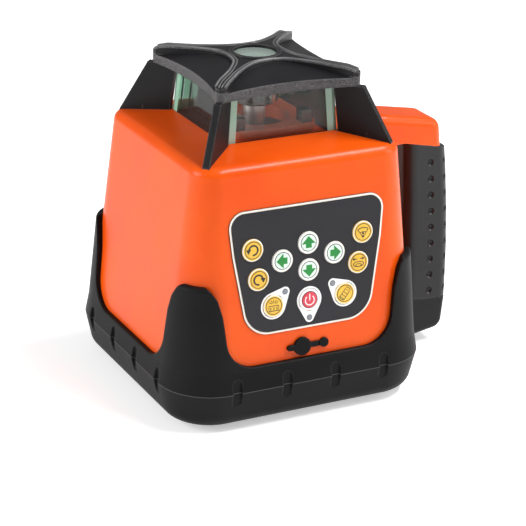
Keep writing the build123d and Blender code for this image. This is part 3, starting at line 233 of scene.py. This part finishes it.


# the *_EDGE colours tint the pale edges, which are partly wear and partly a painted edge highlight
ORANGE_DARK, ORANGE_LIGHT, ORANGE_EDGE = (0.73, 0.072, 0.002), (0.80, 0.092, 0.003), (1.0, 0.30, 0.09)
RUBBER_DARK, RUBBER_LIGHT, RUBBER_EDGE = (0.0035, 0.0036, 0.004), (0.0065, 0.0067, 0.007), (0.05, 0.05, 0.05)
BLACK_DARK, BLACK_LIGHT, BLACK_EDGE = (0.006, 0.006, 0.007), (0.011, 0.011, 0.012), (0.1, 0.1, 0.1)
MATS = {
    # name, darker and lighter colour, roughness, scale and depth of the grain, rounding of hard edges
    "orange": plastic(
        "orange", ORANGE_DARK, ORANGE_LIGHT, 0.36, 2300.0, 0.2, 0.0008,
        coat=0.22, edge_wear_and_highlight_colour=ORANGE_EDGE, edge_wear_and_highlight_amount=0.3, shine=0.12,
    ),
    "boot": plastic(
        "boot_rubber", RUBBER_DARK, RUBBER_LIGHT, 0.5, 1500.0, 0.22, 0.002,
        edge_wear_and_highlight_colour=RUBBER_EDGE, edge_wear_and_highlight_amount=0.5, shine=0.12, paint=parting_line,
    ),
    "rubber": plastic(
        "rubber", RUBBER_DARK, RUBBER_LIGHT, 0.5, 1500.0, 0.22, edge_wear_and_highlight_colour=RUBBER_EDGE, edge_wear_and_highlight_amount=0.5, shine=0.1
    ),
    "grip": plastic(
        "grip_rubber", (0.007, 0.007, 0.008), (0.013, 0.013, 0.014), 0.38, 1300.0, 0.35, 0.0006,
        coat=0.05, edge_wear_and_highlight_colour=BLACK_EDGE, edge_wear_and_highlight_amount=0.5, shine=0.3,
    ),
    "black": plastic(
        "black_plastic", BLACK_DARK, BLACK_LIGHT, 0.42, 1800.0, 0.3, 0.0005,
        edge_wear_and_highlight_colour=BLACK_EDGE, edge_wear_and_highlight_amount=0.5, shine=0.2,
    ),
    "cap": plastic(
        "cap_plastic", (0.006, 0.0055, 0.0065), (0.012, 0.011, 0.013), 0.4, 1500.0, 0.5, 0.0005,
        edge_wear_and_highlight_colour=(0.2, 0.2, 0.2), edge_wear_and_highlight_amount=0.7, shine=0.22, paint=grainy_rim,
    ),
    # pale grey beads: a painted highlight along the glossy edges of the cap's recesses
    "bead_highlight": plastic("cap_bead_highlight", (0.06, 0.058, 0.06), (0.2, 0.2, 0.205), 0.3, 1300.0, 0.5, 0.0, coat=0.1),
    "fin": plastic(
        "fin_plastic", BLACK_DARK, BLACK_LIGHT, 0.45, 1500.0, 0.25,
        edge_wear_and_highlight_colour=(0.12, 0.12, 0.12), edge_wear_and_highlight_amount=0.5, shine=0.2,
    ),
    "panel": plastic(
        "panel_film", (0.013, 0.012, 0.015), (0.018, 0.0165, 0.021), 0.5, 3200.0, 0.35, 0.0002, shine=0.3
    ),
    "ivory": plastic("border_ivory", (0.78, 0.74, 0.66), (0.86, 0.82, 0.75), 0.4, 2000.0, 0.1, 0.0002),
    "white": plastic("key_white", (0.80, 0.80, 0.80), (0.88, 0.88, 0.88), 0.35, 2000.0, 0.1, 0.0002),
    "pale": plastic("key_pale", (0.62, 0.78, 0.66), (0.74, 0.86, 0.77), 0.35, 2000.0, 0.1, 0.0002),
    "gold": plastic("key_gold", (0.72, 0.42, 0.03), (0.82, 0.50, 0.05), 0.35, 1600.0, 0.2, 0.0002),
    "red": plastic("key_red", (0.55, 0.035, 0.06), (0.66, 0.05, 0.08), 0.35, 1600.0, 0.2, 0.0002),
    "green": plastic("arrow_green", (0.003, 0.20, 0.025), (0.005, 0.25, 0.035), 0.4, 1600.0, 0.1, 0.0001),
    "ink": plastic("ink", (0.015, 0.013, 0.012), (0.022, 0.02, 0.018), 0.5, 1600.0, 0.1, 0.0001),
    "gloss_black": plastic(
        "gloss_black", (0.006, 0.006, 0.007), (0.009, 0.009, 0.010), 0.14, 900.0, 0.05, coat=0.6
    ),
    "steel": metal("steel", (0.62, 0.62, 0.64), 0.3),
    "aluminium": metal("aluminium", (0.72, 0.72, 0.74), 0.35),
    "brass": metal("brass", (0.72, 0.50, 0.20), 0.32),
    "board": plastic("board", (0.01, 0.10, 0.03), (0.015, 0.14, 0.045), 0.4, 500.0, 0.2, 0.0002),
    "cell": plastic("cell_wrap", (0.03, 0.16, 0.05), (0.04, 0.2, 0.07), 0.3, 400.0, 0.05, 0.0003, coat=0.3),
    "cast": plastic("cast_paint", (0.03, 0.03, 0.035), (0.045, 0.045, 0.05), 0.5, 900.0, 0.3, 0.0005),
    "glass": glass("window_glass", (0.97, 0.997, 0.98), 0.02, 0.99, 1.28),
    "lens": glass("lens_glass", (0.78, 0.93, 0.84), 0.02, 0.75),
    "edge_glass": glass("edge_glass", (0.66, 0.92, 0.78), 0.08, 0.6),
    "prism": glass("prism_glass", (0.95, 0.70, 0.30), 0.03, 0.4),
    "led": glass("led_lens", (0.30, 0.32, 0.36), 0.1, 0.3),
}

NODE_LOOK = {
    "orange": ["upper_housing", "handle_frame", "battery_door"],
    "boot": ["rubber_boot"],
    "rubber": ["base_feet", "window_seal", "jack_cap", "jack_cap_anchor", "drive_belt"],
    "grip": ["handle_grip"],
    "cap": ["top_cap"],
    "black": ["base_plate", "handle_foot", "dc_jack", "battery_knob", "battery_tray"],
    "fin": ["corner_fins"],
    "panel": ["keypad_panel"],
    "gloss_black": ["ir_receivers", "rotor_head"],
    "steel": [
        "case_screws", "small_screws", "battery_hinge_pin", "pitch_pins", "roll_pins", "pitch_motor",
        "roll_motor", "pitch_screw", "roll_screw", "bearings", "level_sensors", "drive_motor",
    ],
    "aluminium": ["gimbal_ring", "spindle_housing", "rotor_spindle", "rotor_pulley"],
    "brass": ["tripod_insert", "pitch_nut", "roll_nut", "laser_module", "motor_pulley"],
    "board": ["keypad_board", "main_board"],
    "cell": ["battery_cells"],
    "cast": ["chassis"],
    "glass": ["window_panes"],
    "lens": ["up_window"],
    "prism": ["pentaprism"],
    "led": ["status_leds"],
}
for look, names in NODE_LOOK.items():
    for name in names:
        mesh = nodes[name].data
        mesh.materials.clear()
        mesh.materials.append(MATS[look])
for name in nodes:
    if name.startswith("key_"):
        nodes[name].data.materials.clear()
        nodes[name].data.materials.append(MATS["gold"])


# ------------------------------------------------------------------ mesh helpers
def add_piece(name, verts, faces, looks, body, face_looks=None, smooth=True, replaces=()):
    """A mesh piece in millimetres that rides on a CAD body."""
    mesh = bpy.data.meshes.new(name)
    mesh.from_pydata([tuple(c * MM for c in v) for v in verts], [], faces)
    bm = bmesh.new()
    bm.from_mesh(mesh)
    bmesh.ops.recalc_face_normals(bm, faces=bm.faces)
    bm.to_mesh(mesh)
    bm.free()
    for look in looks:
        mesh.materials.append(MATS[look])
    for i, polygon in enumerate(mesh.polygons):
        polygon.use_smooth = smooth
        if face_looks:
            polygon.material_index = face_looks[i]
    obj = bpy.data.objects.new(name, mesh)
    bpy.context.scene.collection.objects.link(obj)
    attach(obj, body)
    if replaces:
        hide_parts(*replaces)
    return obj


def on_front(x, v, d):
    """The point at x, v up the keypad's face from FACE_Z, and d out of the face."""
    return (x, -wall_half(FACE_Z) + v * sin(LEAN) - d * cos(LEAN), FACE_Z + v * cos(LEAN) + d * sin(LEAN))


def up(z):
    """How far up the face a height is."""
    return (z - FACE_Z) / cos(LEAN)


def arc(cx, cy, r, a0, a1, steps=24, squash=1.0):
    """Points from angle a0 to a1, in degrees. squash flattens the circle to an ellipse."""
    angles = [radians(a0 + (a1 - a0) * i / steps) for i in range(steps + 1)]
    return [(cx + r * cos(a), cy + squash * r * sin(a)) for a in angles]


def circle(cx, cy, r, steps=64):
    return [(cx + r * cos(2 * pi * i / steps), cy + r * sin(2 * pi * i / steps)) for i in range(steps)]


def rounded(points, radii, steps=10):
    """A closed outline with its corners rounded."""
    out = []
    count = len(points)
    for i, ((x, y), r) in enumerate(zip(points, radii)):
        before = Vector(points[i - 1]) - Vector((x, y))
        after = Vector(points[(i + 1) % count]) - Vector((x, y))
        if r <= 0:
            out.append((x, y))
            continue
        before.normalize()
        after.normalize()
        half = before.angle(after) / 2
        reach = r / tan(half)
        middle = Vector((x, y)) + (before + after).normalized() * (r / sin(half))
        start = Vector((x, y)) + before * reach - middle
        end = Vector((x, y)) + after * reach - middle
        a0, a1 = atan2(start.y, start.x), atan2(end.y, end.x)
        while a1 - a0 > pi:
            a1 -= 2 * pi
        while a1 - a0 < -pi:
            a1 += 2 * pi
        for k in range(steps + 1):
            a = a0 + (a1 - a0) * k / steps
            out.append((middle.x + r * cos(a), middle.y + r * sin(a)))
    return out


class Art:
    """Thin printed or raised shapes on the keypad's face, gathered into one mesh."""

    def __init__(self):
        self.verts, self.faces, self.looks = [], [], []

    def ring(self, outer, inner, base, top, look):
        """A closed band between two outlines with the same number of points."""
        n = len(outer)
        start = len(self.verts)
        for outline, d in ((outer, base), (outer, top), (inner, top), (inner, base)):
            self.verts += [on_front(x, v, d) for x, v in outline]
        for row in range(4):
            a, b = start + row * n, start + (row + 1) % 4 * n
            for i in range(n):
                j = (i + 1) % n
                self.faces.append((a + i, a + j, b + j, b + i))
                self.looks.append(look)

    def plate(self, outline, base, top, look):
        """A closed plate with the given outline."""
        n = len(outline)
        start = len(self.verts)
        for d in (base, top):
            self.verts += [on_front(x, v, d) for x, v in outline]
        for i in range(n):
            j = (i + 1) % n
            self.faces.append((start + i, start + j, start + n + j, start + n + i))
            self.looks.append(look)
        for end in (start, start + n):
            self.faces.append(tuple(end + i for i in range(n)))
            self.looks.append(look)

    def stroke(self, points, width, base, top, look, closed=False):
        """A line of even width through the points."""
        n = len(points)
        left, right = [], []
        for i, (x, y) in enumerate(points):
            a = points[i - 1] if i or closed else points[i]
            b = points[(i + 1) % n] if i < n - 1 or closed else points[i]
            dx, dy = b[0] - a[0], b[1] - a[1]
            length = hypot(dx, dy) or 1.0
            nx, ny = -dy / length * width / 2, dx / length * width / 2
            left.append((x + nx, y + ny))
            right.append((x - nx, y - ny))
        if closed:
            self.ring(left, right, base, top, look)
        else:
            self.plate(left + right[::-1], base, top, look)

    def build(self, name, looks, body):
        return add_piece(name, self.verts, self.faces, looks, body, self.looks, False)


# ------------------------------------------------------------------ keypad
# the panel's corners as x and height, and their radii
OUTLINE = [(-51, 132), (51, 132), (48.3, 106), (40, 57.5), (-40, 57.5), (-48.3, 106)]
RADII = [9.5, 9.5, 0, 17, 17, 0]
face_outline = [(x, up(z)) for x, z in OUTLINE]


def inset(points, amount):
    """A convex outline drawn in by amount."""
    n = len(points)
    out = []
    for i, (x, y) in enumerate(points):
        a, b = points[i - 1], points[(i + 1) % n]
        dx, dy = b[0] - a[0], b[1] - a[1]
        length = hypot(dx, dy)
        out.append((x + dy / length * amount, y - dx / length * amount))
    return out


outer = rounded(face_outline, RADII, 14)
border = Art()
border.ring(inset(outer, 0.05), inset(outer, 1.25), 0.45, 0.72, 0)
border.build("keypad_border", ["ivory"], "body")

# x, height and colour
KEYS = {
    "key_turn_left": (-35.8, 109.0, "gold"),
    "key_scan": (35.8, 109.5, "gold"),
    "key_turn_right": (-32.6, 91.2, "gold"),
    "key_speed": (32.6, 91.7, "gold"),
    "key_left": (-17.0, 100.0, "white"),
    "key_right": (17.0, 100.0, "white"),
    "key_up": (0.0, 108.3, "white"),
    "key_down": (0.0, 92.2, "white"),
    "key_alarm": (-23.4, 74.1, "gold"),
    "key_power": (0.0, 74.2, "red"),
    "key_tilt": (23.4, 74.3, "gold"),
}
LEDS = {"key_alarm": (-15.6, 81.5), "key_tilt": (15.6, 81.6), "key_power": (0.0, 63.5)}

KEY_RADIUS = 6.6
TAIL_RADIUS, PLATE_RADIUS = 2.9, 8.0
LAMP_RADIUS = 1.75

# teardrop plates round the three lower keys, each with its lamp in the tail
plates = Art()
for name, (lx, lz) in LEDS.items():
    kx, kz, _ = KEYS[name]
    cx, cy, tx, ty = kx, up(kz), lx, up(lz)
    away = atan2(ty - cy, tx - cx)
    distance = hypot(tx - cx, ty - cy)
    step = PLATE_RADIUS - TAIL_RADIUS
    spread = pi / 2 - atan2(step, sqrt(distance**2 - step**2))
    outline = []
    for i in range(40):
        a = away + spread + (2 * pi - 2 * spread) * i / 39
        outline.append((cx + PLATE_RADIUS * cos(a), cy + PLATE_RADIUS * sin(a)))
    for i in range(16):
        a = away - spread + 2 * spread * i / 15
        outline.append((tx + TAIL_RADIUS * cos(a), ty + TAIL_RADIUS * sin(a)))
    hole = KEY_RADIUS + 0.35
    key_ring = []
    for x, y in outline:
        a = atan2(y - cy, x - cx)
        key_ring.append((cx + hole * cos(a), cy + hole * sin(a)))
    plates.ring(outline, key_ring, 0.9, 1.12, 0)
    plates.ring(circle(tx, ty, LAMP_RADIUS, 24), circle(tx, ty, LAMP_RADIUS - 0.3, 24), 1.05, 1.25, 1)
plates.build("indicator_plates", ["white", "ink"], "body")


def key_body(name, kx, kz, colour):
    """A round key with a rim ring, a dark groove and a slightly domed pad, turned about its own centre.

    Below its pad it has the flange and the stem of the CAD key that it replaces.
    """
    ring_look = {"gold": "gold", "white": "white", "red": "white"}[colour]
    pad = {"gold": "gold", "white": "pale", "red": "red"}[colour]
    # radius, distance out of the face, and the look of the band that ends there
    profile = [
        (0.0, 1.78, 2), (2.5, 1.76, 2), (4.4, 1.68, 2), (4.75, 1.62, 2),
        (4.85, 1.50, 1), (5.2, 1.50, 1),
        (5.3, 1.64, 0), (5.95, 1.66, 0),
        (6.05, 1.66, 3), (6.4, 1.62, 3), (KEY_RADIUS, 1.45, 3),
        (KEY_RADIUS, -1.0, 0), (7.9, -1.05, 0), (7.9, -1.9, 0),
        (2.5, -1.9, 0), (2.5, -2.3, 0), (0.0, -2.3, 0),
    ]
    steps = 48
    verts, faces, looks = [], [], []
    for r, d, _ in profile:
        verts += [on_front(x, v, d) for x, v in circle(kx, up(kz), r, steps)]
    for row in range(len(profile) - 1):
        for i in range(steps):
            j = (i + 1) % steps
            a = row * steps
            faces.append((a + i, a + j, a + steps + j, a + steps + i))
            looks.append(profile[row + 1][2])
    used = [ring_look, "ink", pad, "ivory"]
    obj = add_piece(name + "_cap", verts, faces, used, name, looks, True, (name,))
    bm = bmesh.new()
    bm.from_mesh(obj.data)
    bmesh.ops.remove_doubles(bm, verts=bm.verts, dist=1e-6)
    bmesh.ops.recalc_face_normals(bm, faces=bm.faces)
    bm.to_mesh(obj.data)
    bm.free()
    return obj


def arrow_outline(cx, cy, turn):
    """A block arrow with a short stem, pointing up before it is turned."""
    shape = [(0, 4.0), (4.4, -0.5), (1.9, -0.5), (1.9, -3.0), (-1.9, -3.0), (-1.9, -0.5), (-4.4, -0.5)]
    c, s = cos(radians(turn)), sin(radians(turn))
    return [(cx + x * c - y * s, cy + x * s + y * c) for x, y in shape]


def key_icon(name, kx, kz):
    """The printed sign on a key."""
    art = Art()
    cx, cy = kx, up(kz)
    low, top = 1.5, 1.84
    if name in ("key_left", "key_right", "key_up", "key_down"):
        turn = {"key_up": 0, "key_left": 90, "key_down": 180, "key_right": 270}[name]
        art.plate(arrow_outline(cx, cy, turn), low, top, 0)
        return art.build(name + "_sign", ["green"], name)
    if name == "key_power":
        art.stroke(arc(cx, cy - 0.2, 2.9, 130, 410), 0.6, low, top, 0)
        art.stroke([(cx, cy - 0.3), (cx, cy + 3.6)], 0.6, low, top, 0)
        return art.build(name + "_sign", ["white"], name)
    if name == "key_turn_left":
        art.stroke(arc(cx + 0.2, cy, 2.8, -100, 170), 1.0, low, top, 0)
        art.plate([(cx - 4.4, cy + 0.6), (cx - 1.1, cy + 0.9), (cx - 2.9, cy - 2.0)], low, top, 0)
    elif name == "key_turn_right":
        art.stroke(arc(cx - 0.2, cy, 2.8, 280, 10), 1.0, low, top, 0)
        art.plate([(cx + 4.4, cy + 0.6), (cx + 1.1, cy + 0.9), (cx + 2.9, cy - 2.0)], low, top, 0)
    elif name == "key_scan":
        art.stroke([(cx - 3.4, cy + 1.6), (cx, cy - 3.4), (cx + 3.4, cy + 1.6)], 0.45, low, top, 0)
        art.stroke(arc(cx, cy - 3.4, 6.1, 56, 124), 0.45, low, top, 0)
        art.stroke(arc(cx, cy - 3.4, 3.6, 58, 122), 0.4, low, top, 0)
        art.plate([(cx - 0.9, cy - 2.0), (cx + 0.9, cy - 2.0), (cx, cy - 3.6)], low, top, 0)
        art.plate(circle(cx, cy - 0.8, 0.7, 16), low, top, 0)
    elif name == "key_speed":
        art.stroke(arc(cx, cy - 1.0, 3.4, 0, 360, 36, 0.45)[:-1], 0.4, low, top, 0, True)
        art.stroke(arc(cx, cy - 1.6, 1.8, 0, 360, 24, 0.5)[:-1], 0.35, low, top, 0, True)
        for side in (-1, 1):
            art.stroke([(cx + side * 3.6, cy + 2.2), (cx + side * 1.0, cy + 2.2)], 0.45, low, top, 0)
            head = [(3.9, 2.2), (2.7, 3.1), (2.7, 1.3)]
            art.plate([(cx + side * x, cy + y) for x, y in head], low, top, 0)
    elif name == "key_alarm":
        box_shape = [(cx - 3.2, cy - 2.8), (cx + 3.2, cy - 2.8), (cx + 3.2, cy + 0.2), (cx - 3.2, cy + 0.2)]
        art.stroke(box_shape, 0.45, low, top, 0, True)
        for k in range(3):
            art.stroke([(cx - 2.0 + 2 * k, cy - 2.2), (cx - 2.0 + 2 * k, cy - 0.6)], 0.5, low, top, 0)
        for turn in (40, 65, 90, 115, 140):
            c, s = cos(radians(turn)), sin(radians(turn))
            ray = [(cx + 1.6 * c, cy + 0.7 + 1.2 * s), (cx + 3.9 * c, cy + 0.7 + 3.1 * s)]
            art.stroke(ray, 0.35, low, top, 0)
    elif name == "key_tilt":
        c, s = cos(radians(40)), sin(radians(40))
        box_shape = [(-1.7, -3.0), (1.7, -3.0), (1.7, 2.4), (-1.7, 2.4)]
        art.stroke([(cx + x * c + y * s, cy - x * s + y * c) for x, y in box_shape], 0.45, low, top, 0, True)
        for offset in (-1.4, 0.4):
            line = [(-1.7, offset), (1.7, offset)]
            art.stroke([(cx + x * c + y * s, cy - x * s + y * c) for x, y in line], 0.35, low, top, 0)
        art.stroke(arc(cx, cy, 3.9, 20, 80), 0.4, low, top, 0)
        art.stroke(arc(cx, cy, 3.9, 200, 260), 0.4, low, top, 0)
    return art.build(name + "_sign", ["ink"], name)


for key, (kx, kz, colour) in KEYS.items():
    key_body(key, kx, kz, colour)
    key_icon(key, kx, kz)

# ------------------------------------------------------------------ tower
PANE_LOW, PANE_HIGH = (36.3, 160.0), (34.3, 189.3)  # half width and height of the panes' ends
EDGE_WIDTH, EDGE_PROUD = 5.8, 0.12


def pane_edges():
    """Pale green strips down both upright edges of each pane, where its thickness shows."""
    verts, faces = [], []
    for quarter in range(4):
        turn = Matrix.Rotation(quarter * pi / 2, 3, "Z")
        for side in (-1, 1):
            start = len(verts)
            for depth in (EDGE_PROUD, EDGE_PROUD - 0.1):
                for half, z in (PANE_LOW, PANE_HIGH):
                    for along in (half - 0.3, half - 0.3 - EDGE_WIDTH):
                        verts.append(tuple(turn @ Vector((side * along, -half - depth, z))))
            for quad in ((0, 1, 3, 2), (4, 6, 7, 5), (0, 4, 5, 1), (2, 3, 7, 6), (0, 2, 6, 4), (1, 5, 7, 3)):
                faces.append(tuple(start + i for i in quad))
    return add_piece("pane_edges", verts, faces, ["edge_glass"], "body", None, False)


pane_edges()

# top of the cap's ridges, as distance from the axis and height, and half of one recess's edge from above
RIDGE_TOP = [(66.6, 193.2), (65.0, 196.4), (61.6, 198.8), (56.0, 200.2), (20.0, 202.4), (0.0, 202.4)]
RECESS_EDGE = [(0, -18.5), (11, -20.5), (24, -29.5), (34.5, -39.8), (42.5, -47.5)]


def ridge_height(x, y):
    """Height of the cap's ridge over the point x, y."""
    r = hypot(x, y)
    for (far, low), (near, high) in zip(RIDGE_TOP, RIDGE_TOP[1:]):
        if near <= r <= far:
            return low + (high - low) * (far - r) / (far - near)
    return RIDGE_TOP[0][1]


def smooth_line(points, steps=10):
    """Points along a smooth curve through the points given."""
    out = []
    ends = [points[0]] + points + [points[-1]]
    for i in range(1, len(ends) - 2):
        a, b, c, d = (Vector(ends[i + k]) for k in (-1, 0, 1, 2))
        for k in range(steps):
            t = k / steps
            bend = (2 * a - 5 * b + 4 * c - d) * t * t + (3 * b - a - 3 * c + d) * t**3
            out.append(0.5 * (2 * b + (c - a) * t + bend))
    out.append(Vector(points[-1]))
    return out


def cap_beads():
    """Two raised beads along the edge of each recess: a full one at the edge and a finer one outside it,
    pale grey as a painted highlight of the glossy edge.
    """
    verts, faces = [], []
    half = smooth_line(RECESS_EDGE)
    whole = [Vector((-p.x, p.y)) for p in reversed(half[1:])] + half
    sides = 8
    for shift, radius in ((0.7, 0.62), (2.7, 0.32)):
        line = []
        for i, p in enumerate(whole):
            along = whole[min(i + 1, len(whole) - 1)] - whole[max(i - 1, 0)]
            out = Vector((-along.y, along.x)).normalized()
            q = p + out * shift
            if abs(q.x) - abs(q.y) < -0.6 and hypot(q.x, q.y) < 63.0:
                line.append(Vector((q.x, q.y, ridge_height(q.x, q.y))))
        for quarter in range(4):
            turn = Matrix.Rotation(quarter * pi / 2, 3, "Z")
            start = len(verts)
            for i, p in enumerate(line):
                along = (line[min(i + 1, len(line) - 1)] - line[max(i - 1, 0)]).normalized()
                across = along.cross(Vector((0, 0, 1))).normalized()
                rise = across.cross(along)
                for k in range(sides):
                    a = 2 * pi * k / sides
                    verts.append(tuple(turn @ (p + across * radius * cos(a) + rise * radius * sin(a))))
            for i in range(len(line) - 1):
                for k in range(sides):
                    low, after = start + i * sides, (k + 1) % sides
                    faces.append((low + k, low + after, low + sides + after, low + sides + k))
            faces.append(tuple(start + k for k in range(sides)))
            faces.append(tuple(start + (len(line) - 1) * sides + k for k in range(sides)))
    return add_piece("cap_beads", verts, faces, ["bead_highlight"], "body")


cap_beads()

# ------------------------------------------------------------------ camera
# degrees round from the front, up from level and tilted, and metres from the point looked at
AZ, EL, ROLL = radians(-27.173), radians(22.673), radians(1.523)
DISTANCE, AIM = 1.2502, Vector((0, 0, 0.054))
back = Vector((sin(AZ) * cos(EL), -cos(AZ) * cos(EL), sin(EL)))
right = Vector((cos(AZ), sin(AZ), 0))
upward = back.cross(right)
cam_x = right * cos(ROLL) + upward * sin(ROLL)
cam_y = -right * sin(ROLL) + upward * cos(ROLL)
camera = bpy.data.cameras.new("camera")
camera.sensor_width = 36
camera.lens = 139.3
camera.shift_x, camera.shift_y = 0.026, 0.0418
camera.clip_start, camera.clip_end = 0.05, 50
camera_object = bpy.data.objects.new("camera", camera)
camera_object.matrix_world = Matrix(
    (
        (cam_x.x, cam_y.x, back.x, AIM.x + back.x * DISTANCE),
        (cam_x.y, cam_y.y, back.y, AIM.y + back.y * DISTANCE),
        (cam_x.z, cam_y.z, back.z, AIM.z + back.z * DISTANCE),
        (0, 0, 0, 1),
    )
)
bpy.context.scene.collection.objects.link(camera_object)
bpy.context.scene.camera = camera_object

# ------------------------------------------------------------------ floor and light
FLOOR_Z = -0.0002  # just under the feet, so that their faces don't share its plane
floor_mesh = bpy.data.meshes.new("floor")
FLOOR_HALF = 6
corners = [(x * FLOOR_HALF, y * FLOOR_HALF, FLOOR_Z) for x, y in ((-1, -1), (1, -1), (1, 1), (-1, 1))]
floor_mesh.from_pydata(corners, [], [(0, 1, 2, 3)])
floor = bpy.data.objects.new("floor", floor_mesh)
floor_look = bpy.data.materials.new("floor")
floor_look.use_nodes = True
floor_shader = floor_look.node_tree.nodes["Principled BSDF"]
floor_shader.inputs["Base Color"].default_value = (0.9, 0.9, 0.9, 1)
floor_shader.inputs["Roughness"].default_value = 0.9
floor_shader.inputs["Emission Color"].default_value = (1, 1, 1, 1)
floor_shader.inputs["Emission Strength"].default_value = 0.45
floor_mesh.materials.append(floor_look)
bpy.context.scene.collection.objects.link(floor)

world = bpy.data.worlds.new("studio")
world.use_nodes = True
world.node_tree.nodes["Background"].inputs["Color"].default_value = (1, 1, 1, 1)
world.node_tree.nodes["Background"].inputs["Strength"].default_value = 0.26
bpy.context.scene.world = world


LIGHT_AIM = Vector((0, 0, 0.1))


def area_light(name, place, size, power):
    """A soft light at a place in metres, turned to the middle of the object."""
    light = bpy.data.lights.new(name, "AREA")
    light.shape = "RECTANGLE"
    light.size, light.size_y = size
    light.energy = power
    obj = bpy.data.objects.new(name, light)
    obj.location = place
    obj.rotation_euler = (LIGHT_AIM - Vector(place)).to_track_quat("-Z", "Y").to_euler()
    bpy.context.scene.collection.objects.link(obj)


area_light("right", (1.3, -0.75, 0.7), (0.7, 0.9), 9)
area_light("left", (-1.5, 0.3, 0.8), (0.9, 0.9), 20)
area_light("top", (0.55, -0.37, 1.2), (0.9, 0.22), 17)

bpy.context.scene.view_settings.view_transform = "Standard"
